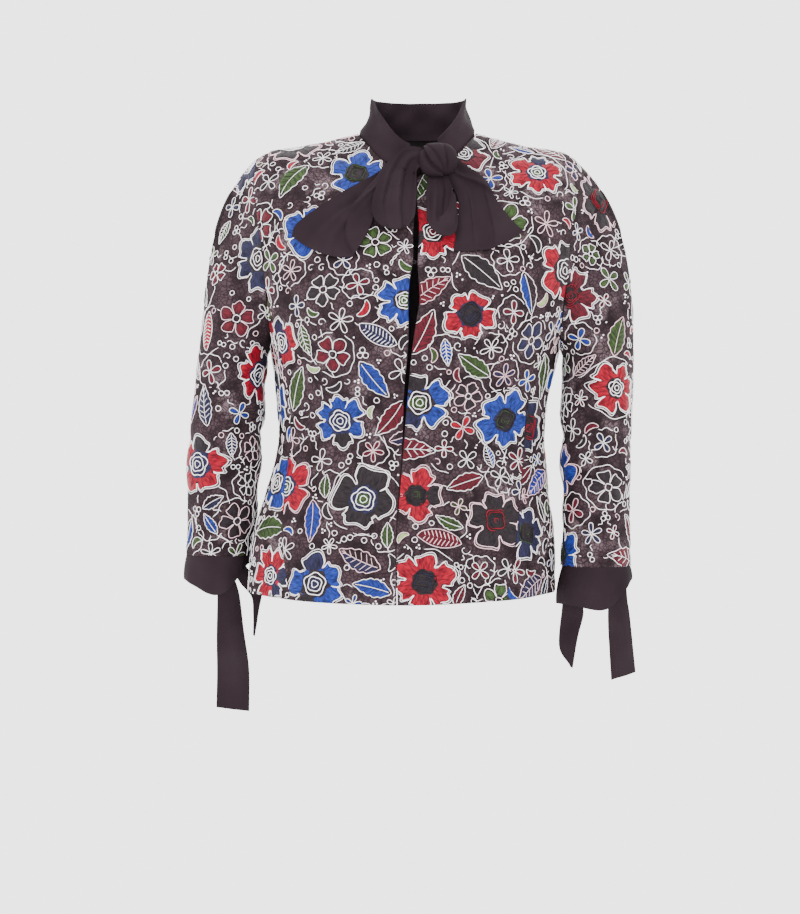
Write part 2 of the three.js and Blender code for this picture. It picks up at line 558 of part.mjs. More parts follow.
// The neck band: its bottom edge stands on the neckline at the same points, its top edge leans in.
function neckBandRings() {
  const angles = [];
  const step = (90 * DEG) / FRONT_COLUMNS;
  for (let j = 2; j <= FRONT_COLUMNS; j++) angles.push(j * step);
  for (let j = 1; j <= BACK_COLUMNS; j++) angles.push(90 * DEG + (Math.PI * j) / BACK_COLUMNS);
  for (let j = 1; j < FRONT_COLUMNS; j++) angles.push(270 * DEG + j * step);
  return Array.from({ length: BAND.rows + 1 }, (_, i) => {
    const t = i / BAND.rows;
    return angles.map((angle) => {
      const foot = body(angle, NECKLINE);
      const depth = Math.cos(angle) > 0 ? BAND.topFront : BAND.topBack;
      const lean = Math.sin((t * Math.PI) / 2);
      return new THREE.Vector3(
        mix(foot.x, BAND.topCentre + BAND.topHalf * Math.sin(angle), lean),
        mix(foot.y, -depth * Math.cos(angle), lean),
        foot.z + SEAM_GAP * 2 + mix(BAND.frontHeight, BAND.sideHeight, ease(mix(1, 0, clamp01(Math.cos(angle))))) * t,
      );
    });
  });
}

// A standing sheet: the wall lies inside its rings of points.
function standingWall(rings, thickness) {
  const inner = rings.map((ring, i) =>
    ring.map((p, j) => {
      const last = ring.length - 1;
      const around = ring[Math.min(j + 1, last)].clone().sub(ring[Math.max(j - 1, 0)]);
      const up = rings[Math.min(i + 1, rings.length - 1)][j].clone().sub(rings[Math.max(i - 1, 0)][j]);
      return p.clone().addScaledVector(around.cross(up).normalize(), -thickness);
    }),
  );
  return closedWall(rings, inner);
}

// The point in front of the body at that x and z, standing off it by that much.
function offBody(x, z, off) {
  let angle = 0;
  let level = ARMHOLE.high;
  for (let i = 0; i < 60; i++) {
    const p = body(angle, level);
    angle += (x - p.x) / BODY.at(-1).half / 2;
    level = Math.min(NECKLINE, Math.max(HEM, level + (z - p.z) * 0.7));
  }
  return new THREE.Vector3(x, body(angle, level).y - off, z);
}

// A point at its own true depth.
const hanging = (x, z, y) => new THREE.Vector3(x, y, z);

// How high the larger folds stand at that share across (c) and along (t).
function foldHeight(folds, c, t) {
  return folds.reduce((sum, { from, to, start, end, width, height, steep }) => {
    const along = (t - start) / (end - start);
    if (along <= 0 || along >= 1) return sum;
    const away = c - mix(from, to, t);
    return sum + height * Math.sin(Math.PI * along) * bell(away / (away > 0 ? width * steep : width));
  }, 0);
}

// A strip of silk along a table of stations, each point put in place by that function.
function strip(stations, place, { steps, columns, pleats, folds = [] }) {
  const table = stations.map((s, i) => ({ ...s, at: i }));
  const rows = Array.from({ length: steps + 1 }, (_, i) => {
    const s = between(table, "at", ((table.length - 1) * i) / steps);
    return Array.from({ length: columns + 1 }, (_, j) => {
      const c = j / columns;
      const z = mix(s.za, s.zb, c) - s.sag * 4 * c * (1 - c);
      const p = place(mix(s.xa, s.xb, c), z, mix(s.ya, s.yb, c));
      return { p, fold: s.fold * Math.sin(2 * Math.PI * (pleats * c + PLEAT_START)) + foldHeight(folds, c, i / steps) };
    });
  });
  const facing = (i, j) => {
    const across = rows[i][Math.min(j + 1, columns)].p.clone().sub(rows[i][Math.max(j - 1, 0)].p);
    const along = rows[Math.min(i + 1, steps)][j].p.clone().sub(rows[Math.max(i - 1, 0)][j].p);
    return across.cross(along).normalize();
  };
  const layer = (depth) =>
    rows.map((row, i) => row.map(({ p, fold }, j) => p.clone().addScaledVector(facing(i, j), fold + depth)));
  return closedWall(layer(SILK / 2), layer(-SILK / 2));
}

// A rounded knot of that size, wrapped by slanting folds.
function knot({ x, y, z, width, depth, height, folds, groove, slant, blunt }, around = 20, down = 12) {
  const positions = [];
  const index = [];
  const shape = (turn, tip) => {
    const wrap = 1 + groove * Math.sin(folds * (tip + slant * Math.sin(turn))) * Math.sin(tip);
    positions.push(
      x + (width / 2) * wrap * Math.sin(tip) * Math.cos(turn),
      y + (depth / 2) * wrap * Math.sin(tip) * Math.sin(turn),
      z + (height / 2) * Math.cos(tip) * (1 - blunt + blunt * Math.sin(tip)),
    );
  };
  shape(0, 0);
  for (let i = 1; i < down; i++) {
    for (let j = 0; j < around; j++) shape((2 * Math.PI * j) / around, (Math.PI * i) / down);
  }
  shape(0, Math.PI);
  const ring = (i, j) => 1 + (i - 1) * around + (j % around);
  const foot = 1 + (down - 1) * around;
  for (let j = 0; j < around; j++) {
    index.push(0, ring(1, j), ring(1, j + 1), foot, ring(down - 1, j + 1), ring(down - 1, j));
    for (let i = 1; i < down - 1; i++) {
      index.push(ring(i, j), ring(i + 1, j), ring(i + 1, j + 1), ring(i, j), ring(i + 1, j + 1), ring(i, j + 1));
    }
  }
  return facingOut(positions, index);
}

// A bent wire with round section along those points.
function wire(points, radius, sides = 6) {
  const section = new THREE.Shape();
  for (let i = 0; i < sides; i++) {
    const a = (2 * Math.PI * i) / sides;
    const at = [radius * Math.cos(a), radius * Math.sin(a)];
    if (i) section.lineTo(...at);
    else section.moveTo(...at);
  }
  const path = new THREE.CatmullRomCurve3(points.map((p) => new THREE.Vector3(...p)));
  const geometry = new THREE.ExtrudeGeometry(section, { extrudePath: path, steps: points.length * 3, curveSegments: 1 });
  geometry.deleteAttribute("normal");
  geometry.deleteAttribute("uv");
  return geometry;
}

addPiece("front_right", bodyPanel(frontPlaces(-1)), NET_BLACK);
addPiece("front_left", bodyPanel(frontPlaces(1)), NET_BLACK);
addPiece("side_right", bodyPanel(sidePlaces(-1)), NET_BLACK);
addPiece("side_left", bodyPanel(sidePlaces(1)), NET_BLACK);
addPiece("back", bodyPanel(backPlaces()), NET_BLACK);

for (const [name, table, cuff, side] of [
  ["right", SLEEVE_RIGHT, CUFF_RIGHT, -1],
  ["left", SLEEVE_LEFT, CUFF_LEFT, 1],
]) {
  const rings = sleeveRings(table, side);
  addPiece(`sleeve_${name}`, tubeWall(rings, side, CLOTH), NET_BLACK);
  addPiece(`cuff_${name}`, tubeWall(cuffRings(rings.at(-1), table, cuff), side, SILK), SILK_BLACK);
}

const manifold = await Module();
manifold.setup();

// A geometry as a manifold-3d solid, and back.
function solidOf(geometry) {
  const plain = geometry.index ? geometry.toNonIndexed() : geometry;
  const bare = new THREE.BufferGeometry().setAttribute("position", plain.getAttribute("position"));
  const merged = mergeVertices(bare, 1e-3);
  return new manifold.Manifold(
    new manifold.Mesh({
      numProp: 3,
      vertProperties: merged.attributes.position.array,
      triVerts: new Uint32Array(merged.index.array),
    }),
  );
}
function geometryOf(solid) {
  const { vertProperties, triVerts } = solid.getMesh();
  const geometry = new THREE.BufferGeometry();
  geometry.setAttribute("position", new THREE.BufferAttribute(vertProperties, 3));
  geometry.setIndex(new THREE.BufferAttribute(triVerts, 1));
  return geometry;
}

// The largest body of a geometry after the knot and the seam gap round it are cut from it.
const knotAndGap = solidOf(
  knot({ ...KNOT, width: KNOT.width + 2 * SEAM_GAP, depth: KNOT.depth + 2 * SEAM_GAP, height: KNOT.height + 2 * SEAM_GAP }),
);
function clearOfKnot(geometry) {
  const bodies = solidOf(geometry).subtract(knotAndGap).decompose();
  return geometryOf(bodies.sort((p, q) => q.volume() - p.volume())[0]);
}

// The hook and its eye, bent wire behind the cloth of the two fronts.
function hookAndEye() {
  const middle = body(0, HOOK.level);
  const at = (x, back, up) => {
    const cloth = offBody(middle.x + x, middle.z + up, 0);
    return [cloth.x, cloth.y + CLOTH + 2 * SEAM_GAP + HOOK.wire + back, cloth.z];
  };
  const { wire: radius, eyeReach, eyeHalf, hookReach, bill } = HOOK;
  const eye = [
    at(-eyeReach, 0, eyeHalf),
    at(-1, 0, eyeHalf),
    at(0.8, 0, eyeHalf * 0.6),
    at(0.8, 0, -eyeHalf * 0.6),
    at(-1, 0, -eyeHalf),
    at(-eyeReach, 0, -eyeHalf),
  ];
  const hook = [at(hookReach, 0, 0), at(3.4, 0, 0), at(1.6, bill * 0.8, 0), at(-0.4, bill, 0), at(-1.5, bill * 0.5, 0), at(-1.5, -0.2, 0)];
  addPiece("eye", wire(eye, radius), WIRE_BLACK);
  addPiece("hook", wire(hook, radius), WIRE_BLACK);
}

addPiece("neck_band", clearOfKnot(standingWall(neckBandRings(), SILK)), SILK_BLACK);
addPiece("bow_knot", knot(KNOT), SILK_BLACK);
for (const [name, table, columns, steps] of [
  ["bow_loop_right", BOW_LOOP_RIGHT, 12, 26],
  ["bow_loop_left", BOW_LOOP_LEFT, 8, 20],
  ["bow_tail_right", BOW_TAIL_RIGHT, 12, 15],
  ["bow_tail_left", BOW_TAIL_LEFT, 12, 12],
]) {
  const folds = BOW_FOLDS[name];
  addPiece(name, clearOfKnot(strip(table, offBody, { steps, columns, pleats: 1.5, folds })), SILK_BLACK);
}
for (const [name, table] of [
  ["tie_right_long", TIE_RIGHT_LONG],
  ["tie_right_short", TIE_RIGHT_SHORT],
  ["tie_left_short", TIE_LEFT_SHORT],
  ["tie_left_long", TIE_LEFT_LONG],
]) {
  addPiece(name, strip(table, hanging, { steps: 8, columns: 5, pleats: 1 }), SILK_BLACK);
}
hookAndEye();

export default jacket;
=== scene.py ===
"""A short fitted jacket in embroidered net, with silk cuffs and a silk neck band tied in a bow."""

import logging
import math
from dataclasses import astuple, dataclass, field, fields
from enum import Enum
from typing import Callable, Sequence

import bpy
import numpy as np
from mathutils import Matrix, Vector


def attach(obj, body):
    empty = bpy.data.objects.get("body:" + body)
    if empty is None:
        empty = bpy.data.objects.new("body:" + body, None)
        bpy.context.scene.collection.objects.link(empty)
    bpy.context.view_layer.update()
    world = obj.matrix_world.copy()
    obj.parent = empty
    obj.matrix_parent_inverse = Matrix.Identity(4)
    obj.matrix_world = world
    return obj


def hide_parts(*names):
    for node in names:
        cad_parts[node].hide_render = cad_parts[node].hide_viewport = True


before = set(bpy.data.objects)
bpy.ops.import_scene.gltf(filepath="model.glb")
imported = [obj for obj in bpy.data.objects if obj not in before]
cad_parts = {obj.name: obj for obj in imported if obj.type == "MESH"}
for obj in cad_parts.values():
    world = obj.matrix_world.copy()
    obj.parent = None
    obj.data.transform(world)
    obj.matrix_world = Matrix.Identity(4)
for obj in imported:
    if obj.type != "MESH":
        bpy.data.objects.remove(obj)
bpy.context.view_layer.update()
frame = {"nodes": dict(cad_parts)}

log = logging.getLogger("jacket")

MM = 0.001
DEG = math.pi / 180
IMAGE_HEIGHT = 914

MIX_SHARE, MIX_UNDER, MIX_OVER, MIX_RESULT = 0, 6, 7, 2
STEM_SIZE = -1.0

Grid = np.ndarray
Colour = tuple[float, float, float, float]


class Side(Enum):
    """The wearer's left and right, as the sign of X."""

    RIGHT = -1
    LEFT = 1


class Hold(Enum):
    """How a piece of cloth is held, in the frame's words."""

    HUNG = "hung"
    FOLDED = "folded"
    DRAPED = "draped"


class Thread(Enum):
    """The embroidery threads, in the order of their material slots."""

    CORD = 0
    RED = 1
    BLUE = 2
    NAVY = 3
    GREEN = 4
    PALE_GREEN = 5
    BURGUNDY = 6
    CHARCOAL = 7
    PINK = 8


def mix(a: Grid | float, b: Grid | float, t: Grid | float) -> Grid:
    """The value that lies t of the way from a to b."""
    return a + (b - a) * t


def ease(t: Grid | float) -> Grid:
    """A smooth step from 0 to 1."""
    t = np.clip(t, 0, 1)
    return t * t * (3 - 2 * t)


def bell(t: Grid | float) -> Grid:
    """A bell curve that is 1 at 0."""
    return np.exp(-np.square(t))


def cubic(t: Grid) -> tuple[Grid, Grid, Grid, Grid]:
    """The weights of four neighbours in a row for a point between the middle two.

    Args:
        t: its share of the way between them.

    Returns:
        The four weights.
    """
    return (
        (-(t**3) + 2 * t**2 - t) / 2,
        (3 * t**3 - 5 * t**2 + 2) / 2,
        (-3 * t**3 + 4 * t**2 + t) / 2,
        (t**3 - t**2) / 2,
    )


def unit(v: Grid) -> Grid:
    """Vectors of length 1 along v."""
    return v / np.maximum(np.linalg.norm(v, axis=-1, keepdims=True), 1e-9)


@dataclass(frozen=True)
class BodySection:
    """A section of the worn body: its place up the cloth, its middle, turn, half width and depths."""

    up: float
    centre: float
    turn: float
    half: float
    front: float
    back: float
    square: float
    z_front: float
    z_side: float
    z_back: float
    seam: float


@dataclass(frozen=True)
class Opening:
    """The gap between the two front edges at a level."""

    up: float
    gap: float


@dataclass(frozen=True)
class BackSeam:
    """The angle of the back panel seam at a level."""

    up: float
    angle: float


@dataclass(frozen=True)
class Ring:
    """A level section of a sleeve."""

    z: float
    x: float
    y: float
    half_x: float
    half_y: float


@dataclass(frozen=True)
class Fold:
    """A soft trough in the body's cloth: angle, level, half width and slant in degrees, reach, depth."""

    angle: float
    level: float
    width: float
    reach: float
    depth: float
    slant: float = 0.0


@dataclass(frozen=True)
class SleeveFold:
    """A soft trough round a sleeve: z, the angle of its middle, its spread, height, depth and slant."""

    z: float
    angle: float
    spread: float
    height: float
    depth: float
    slant: float


@dataclass(frozen=True)
class Station:
    """A row of a silk strip: its two edges, the height of its pleats and the sag of its middle."""

    xa: float
    za: float
    ya: float
    xb: float
    zb: float
    yb: float
    fold: float
    sag: float


@dataclass(frozen=True)
class NumberedStation(Station):
    """A station and its number along the strip."""

    at: float = 0.0


@dataclass(frozen=True)
class StripFold:
    """A larger fold of a strip: its share across at the start and end, its reach along, and its shape."""

    at_start: float
    at_end: float
    start: float
    end: float
    width: float
    height: float
    steep: float

    def lift(self, u: Grid, v: Grid) -> Grid:
        """How high the fold stands there.

        Args:
            u: share across.
            v: share along.

        Returns:
            The height in mm.
        """
        along = np.clip((v - self.start) / (self.end - self.start), 0, 1)
        away = u - mix(self.at_start, self.at_end, v)
        width = np.where(away > 0, self.width * self.steep, self.width)
        return self.height * np.sin(math.pi * along) * bell(away / width)


class SmoothTable:
    """Rows of numbers that are joined by a smooth curve."""

    def __init__(self, rows: Sequence[object], key: str) -> None:
        """Keeps the rows as columns.

        Args:
            rows: dataclass rows whose key column rises or falls all the way.
            key: the name of the column that places the rows.
        """
        self.columns = {f.name: np.array([getattr(r, f.name) for r in rows], float) for f in fields(rows[0])}
        self.sign = math.copysign(1.0, self.columns[key][-1] - self.columns[key][0])
        self.place = self.columns[key] * self.sign
        step = np.diff(self.place)
        self.slopes = {}
        for name, values in self.columns.items():
            rise = np.diff(values) / step
            inner = (rise[:-1] * step[1:] + rise[1:] * step[:-1]) / (step[:-1] + step[1:])
            self.slopes[name] = np.concatenate([rise[:1], inner, rise[-1:]])

    def at(self, where: Grid | float) -> dict[str, Grid]:
        """Every column at those places.

        Args:
            where: places in the key column.

        Returns:
            The value of each column there.
        """
        where = np.asarray(where, float) * self.sign
        i = np.clip(np.searchsorted(self.place, where, side="left") - 1, 0, len(self.place) - 2)
        step = self.place[i + 1] - self.place[i]
        t = np.clip((where - self.place[i]) / step, 0, 1)
        h00, h10 = (1 + 2 * t) * (1 - t) ** 2, t * (1 - t) ** 2
        h01, h11 = t * t * (3 - 2 * t), t * t * (t - 1)
        return {
            n: h00 * v[i] + h10 * step * self.slopes[n][i] + h01 * v[i + 1] + h11 * step * self.slopes[n][i + 1]
            for n, v in self.columns.items()
        }


@dataclass
class WornBody:
    """The form of the jacket's body, as a surface over an angle from the centre front and a level."""

    sections: tuple[BodySection, ...] = (
        BodySection(0, -16.5, -1.3, 174, 127, 120, 2.15, -516, -507, -510, 42),
        BodySection(62, -14, -2.5, 172.5, 119, 115, 2.2, -450, -447, -449, 47),
        BodySection(115, -9.5, -3.2, 163.5, 108, 105, 2.2, -400, -397, -398, 52),
        BodySection(167, -4.5, -3.6, 155, 102, 96, 2.2, -345, -345, -345, 56),
        BodySection(227, -3, -2.8, 156.5, 112, 99, 2.3, -283, -285, -284, 55),
        BodySection(285, 0, -1.5, 166, 125, 105, 2.4, -214, -228, -216, 56),
        BodySection(385, 1.5, -0.8, 187, 117, 112, 2.55, -150, -128, -140, 62),
        BodySection(497, 1, 0, 179, 95, 98, 2.3, -94, -9, -56, 62),
        BodySection(556, 1, 0, 122, 80, 84, 2.1, -62, 4.5, -16, 62),
        BodySection(609, 2, 0, 68, 66, 62, 2, -36, 18, 20, 62),
    )
    openings: tuple[Opening, ...] = (
        Opening(0, 0.8),
        Opening(115, 0.9),
        Opening(188, 1.4),
        Opening(225, 3),
        Opening(270, 3.6),
        Opening(328, 9),
        Opening(372, 6),
        Opening(405, 3.4),
        Opening(480, 3.6),
        Opening(545, 1.2),
        Opening(609, 0.8),
    )
    back_seams: tuple[BackSeam, ...] = (BackSeam(0, 138), BackSeam(167, 125), BackSeam(338, 117.7))
    waist_folds: tuple[Fold, ...] = (
        Fold(-74, 205, 6, 88, 4.5),
        Fold(-92, 175, 7, 70, 3.5),
        Fold(70, 215, 6, 85, 4.5),
        Fold(90, 185, 7, 75, 3.5),
        Fold(148, 205, 8, 70, 3),
        Fold(-150, 195, 8, 75, 3),
    )
    fine_folds: tuple[Fold, ...] = (
        Fold(-66, 250, 2.4, 60, 1.9, 8),
        Fold(-80, 238, 2.2, 58, 2.2, -6),
        Fold(-70, 160, 2.6, 52, 1.8, -10),
        Fold(-86, 150, 2.4, 46, 1.6, 7),
        Fold(-61, 330, 3.0, 44, 1.8, 24),
        Fold(62, 255, 2.4, 62, 2.0, -7),
        Fold(78, 240, 2.2, 56, 2.2, 6),
        Fold(66, 165, 2.6, 50, 1.8, 9),
        Fold(84, 150, 2.4, 48, 1.6, -7),
        Fold(60, 335, 3.0, 44, 1.6, -24),
        Fold(-24, 215, 6, 60, 1.1, 14),
        Fold(26, 205, 6, 60, 1.1, -16),
        Fold(-38, 90, 6, 60, 1.2, 6),
        Fold(40, 80, 6, 60, 1.2, -5),
        Fold(160, 245, 4, 54, 1.6, 12),
        Fold(-163, 240, 4, 54, 1.6, -12),
        Fold(134, 215, 4, 56, 1.8, -8),
        Fold(-136, 210, 4, 56, 1.8, 8),
        Fold(118, 330, 4, 40, 1.6, -20),
        Fold(-118, 330, 4, 40, 1.6, 20),
    )
    slant_run: float = 120
    bust_angle: float = 31 * DEG
    bust_spread: float = 17 * DEG
    bust_level: float = 292
    bust_reach: float = 62
    bust_fullness: float = 11
    flute_count: int = 9
    flute_depth: float = 2.4
    flute_top: float = 150
    flute_phase: float = 0.6
    armhole_low: float = 285
    armhole_high: float = 497
    armhole_front: float = 30 * DEG
    armhole_back: float = 32 * DEG
    armhole_join: float = 60 * DEG
    seam_bend: float = 200
    neckline: float = 609
    seam_rows: int = 13
    armhole_rows: int = 7
    shoulder_rows: int = 4

    def __post_init__(self) -> None:
        """Prepares the tables and the level where the panel seams join the armhole."""
        self.section_table = SmoothTable(self.sections, "up")
        self.opening_table = SmoothTable(self.openings, "up")
        self.back_table = SmoothTable(self.back_seams, "up")
        self.join_level = float(self.armhole(self.armhole_join, 1)[1])

    def point(self, angle: Grid, level: Grid, folded: bool = True) -> Grid:
        """The cloth's outer face.

        Args:
            angle: from the centre front in radians, positive to the wearer's left.
            level: the way up the cloth, in mm.
            folded: whether the fine folds are on it.

        Returns:
            Points in mm.
        """
        angle, level = np.broadcast_arrays(np.asarray(angle, float), np.asarray(level, float))
        s = self.section_table.at(level)
        a = angle + s["turn"] * DEG
        side, ahead = np.sin(a), np.cos(a)
        r = (np.abs(side) ** s["square"] + np.abs(ahead) ** s["square"]) ** (-1 / s["square"])
        depth = np.where(ahead > 0, s["front"], s["back"])
        end = np.where(ahead > 0, s["z_front"], s["z_back"])
        bust = self.bust_fullness * bell((np.abs(angle) - self.bust_angle) / self.bust_spread)
        bust = bust * bell((level - self.bust_level) / self.bust_reach)
        fade = 1 - ease(level / self.flute_top)
        flute = self.flute_depth * np.sin(self.flute_count * angle + self.flute_phase) * fade
        out = bust + flute
        for f in self.waist_folds + (self.fine_folds if folded else ()):
            away = (np.degrees(angle) - f.angle + 540) % 360 - 180
            away = away + f.slant * (level - f.level) / self.slant_run
            out = out - f.depth * bell(away / f.width) * bell((level - f.level) / f.reach)
        return np.stack(
            [
                s["centre"] + (s["half"] * r + out) * side,
                -(depth * r + out) * ahead,
                mix(end, s["z_side"], side * side),
            ],
            axis=-1,
        )

    def armhole(self, turn: Grid | float, side: int) -> tuple[Grid, Grid]:
        """The armhole's angle and level, from the underarm by the front to the shoulder and round.

        Args:
            turn: from the underarm by the front, in radians.
            side: 1 for the wearer's left and -1 for the right.

        Returns:
            The angle and the level.
        """
        level = mix(self.armhole_low, self.armhole_high, (1 - np.cos(turn)) / 2)
        reach = np.where(np.sin(turn) > 0, self.armhole_front, self.armhole_back)
        return side * (90 * DEG - reach * np.sin(turn)), level

    def front_seam(self, level: Grid, side: int) -> Grid:
        """The angle of the front panel seam at a level.

        Args:
            level: the way up the cloth, in mm.
            side: 1 for the wearer's left and -1 for the right.

        Returns:
            The angle in radians.
        """
        join = self.armhole(self.armhole_join, 1)[0]
        free = self.section_table.at(level)["seam"] * DEG
        bend = ease((level - self.seam_bend) / (self.join_level - self.seam_bend))
        return side * mix(free, join, bend)

    def back_seam(self, level: Grid, side: int) -> Grid:
        """The angle of the back panel seam at a level."""
        return side * self.back_table.at(level)["angle"] * DEG

    def edge(self, row: Grid, side: int, seam: Callable[[Grid, int], Grid], first: float) -> tuple[Grid, Grid, Grid]:
        """The outer edge of a front or back panel.

        Args:
            row: 0 at the hem, counting the part's rows up to the neckline.
            side: 1 for the wearer's left and -1 for the right.
            seam: the panel's seam below the armhole.
            first: the turn of the armhole where that seam meets it.

        Returns:
            The edge's angle and level, and the level at the centre line.
        """
        low, high = self.seam_rows, self.seam_rows + self.armhole_rows
        seam_level = self.join_level * np.clip(row / low, 0, 1)
        t = np.clip((row - low) / self.armhole_rows, 0, 1)
        hole_angle, hole_level = self.armhole(mix(first, math.pi, t), side)
        top = mix(self.armhole_high, self.neckline, np.clip((row - high) / self.shoulder_rows, 0, 1))
        angle = np.where(row <= low, seam(seam_level, side), np.where(row <= high, hole_angle, side * 90 * DEG))
        level = np.where(row <= low, seam_level, np.where(row <= high, hole_level, top))
        middle = mix(self.join_level, self.armhole_high, t)
        centre = np.where(row <= low, seam_level, np.where(row <= high, middle, top))
        return angle, level, centre

    @property
    def panel_rows(self) -> int:
        """How many rows the part's front and back panels have."""
        return self.seam_rows + self.armhole_rows + self.shoulder_rows

    def front(self, side: int, u: Grid, v: Grid) -> tuple[Grid, Grid]:
        """A place on a front, from the centre edge to the side and from the hem to the neckline.

        Args:
            side: 1 for the wearer's left and -1 for the right.
            u: share across.
            v: share along.

        Returns:
            The angle and the level.
        """
        angle, level, centre = self.edge(v * self.panel_rows, side, self.front_seam, self.armhole_join)
        gap = self.opening_table.at(centre)["gap"] / 2
        start = side * gap / self.section_table.at(centre)["front"]
        return mix(start, angle, u), mix(centre, level, u)

    def back(self, u: Grid, v: Grid) -> tuple[Grid, Grid]:
        """A place on the back, from the wearer's left to the right and from the hem to the neckline.

        Args:
            u: share across.
            v: share along.

        Returns:
            The angle and the level.
        """
        angle, level, _ = self.edge(v * self.panel_rows, 1, self.back_seam, 2 * math.pi - self.armhole_join)
        near = mix(angle, math.pi, np.minimum(2 * u, 1))
        return np.where(u <= 0.5, near, 2 * math.pi - mix(angle, math.pi, np.minimum(2 - 2 * u, 1))), level

    def side_panel(self, side: int, u: Grid, v: Grid) -> tuple[Grid, Grid]:
        """A place on a side, from the front seam to the back seam and from the hem to the underarm.

        Args:
            side: 1 for the wearer's left and -1 for the right.
            u: share across.
            v: share along.

        Returns:
            The angle and the level.
        """
        level = self.join_level * v
        join = self.armhole_join
        top_angle, top_level = self.armhole(mix(join, -join, u), side)
        straight = mix(self.armhole(join, side)[0], self.armhole(-join, side)[0], u)
        across = mix(self.front_seam(level, side), self.back_seam(level, side), u)
        return across + v * (top_angle - straight), top_level * v


@dataclass
class Surface:
    """The outer face of a piece of cloth over two shares, u across and v along."""

    at: Callable[[Grid, Grid], Grid]
    outward: float = 1.0
    round: bool = False

    def normal(self, u: Grid, v: Grid) -> Grid:
        """Which way the cloth faces."""
        du, dv = self.slopes(u, v)
        return unit(np.cross(du, dv)) * self.outward

    def slopes(self, u: Grid, v: Grid) -> tuple[Grid, Grid]:
        """How far a point moves for each share of u and of v.

        Args:
            u: share across.
            v: share along.

        Returns:
            The two slopes, in mm a share.
        """
        d = 1e-3
        u0, u1 = (u - d, u + d) if self.round else (np.clip(u - d, 0, 1), np.clip(u + d, 0, 1))
        v0, v1 = np.clip(v - d, 0, 1), np.clip(v + d, 0, 1)
        du = (self.at(u1, v) - self.at(u0, v)) / (u1 - u0)[..., None]
        dv = (self.at(u, v1) - self.at(u, v0)) / (v1 - v0)[..., None]
        return du, dv

    def inside(self, shares: Grid) -> Grid:
        """Which shares lie on the cloth."""
        on = (shares[:, 1] >= 0) & (shares[:, 1] <= 1)
        return on if self.round else on & (shares[:, 0] >= 0) & (shares[:, 0] <= 1)

    def spread(self, flat: Grid, start: Grid, frames: Grid, rounds: int = 5) -> tuple[Grid, Grid]:
        """Lays flat points on the cloth, each about its own motif's middle.

        Args:
            flat: the points, in mm.
            start: the shares of each point's middle.
            frames: for each point its middle and the two flat directions there.
            rounds: how often the shares are corrected.

        Returns:
            The shares, and how far each is from its true place in mm.
        """
        middle, first, second = frames[:, 0], frames[:, 1], frames[:, 2]
        shares = start.copy()
        for _ in range(rounds):
            on = np.clip(shares, 0, 1)
            if self.round:
                on[:, 0] = shares[:, 0]
            du, dv = self.slopes(on[:, 0], on[:, 1])
            over = shares - on
            offset = self.at(on[:, 0], on[:, 1]) + du * over[:, :1] + dv * over[:, 1:] - middle
            miss = flat - np.stack([(offset * first).sum(-1), (offset * second).sum(-1)], -1)
            a, b = (du * first).sum(-1), (dv * first).sum(-1)
            c, d = (du * second).sum(-1), (dv * second).sum(-1)
            det = a * d - b * c
            det = np.where(np.abs(det) < 1.0, np.copysign(1.0, det), det)
            step = np.stack([d * miss[:, 0] - b * miss[:, 1], a * miss[:, 1] - c * miss[:, 0]], -1) / det[:, None]
            shares = shares + np.clip(step, -0.08, 0.08)
        return shares, np.linalg.norm(miss, axis=-1)


def add_node(tree: object, kind: str, **values: float) -> object:
    """A new shader node with some of its inputs set.

    Args:
        tree: the node tree that it goes in.
        kind: its type, without Blender's prefix.
        values: the inputs' values, with an underscore for each space in a name.

    Returns:
        The node.
    """
    node = tree.nodes.new(f"ShaderNode{kind}")
    for name, value in values.items():
        node.inputs[name.replace("_", " ")].default_value = value
    return node


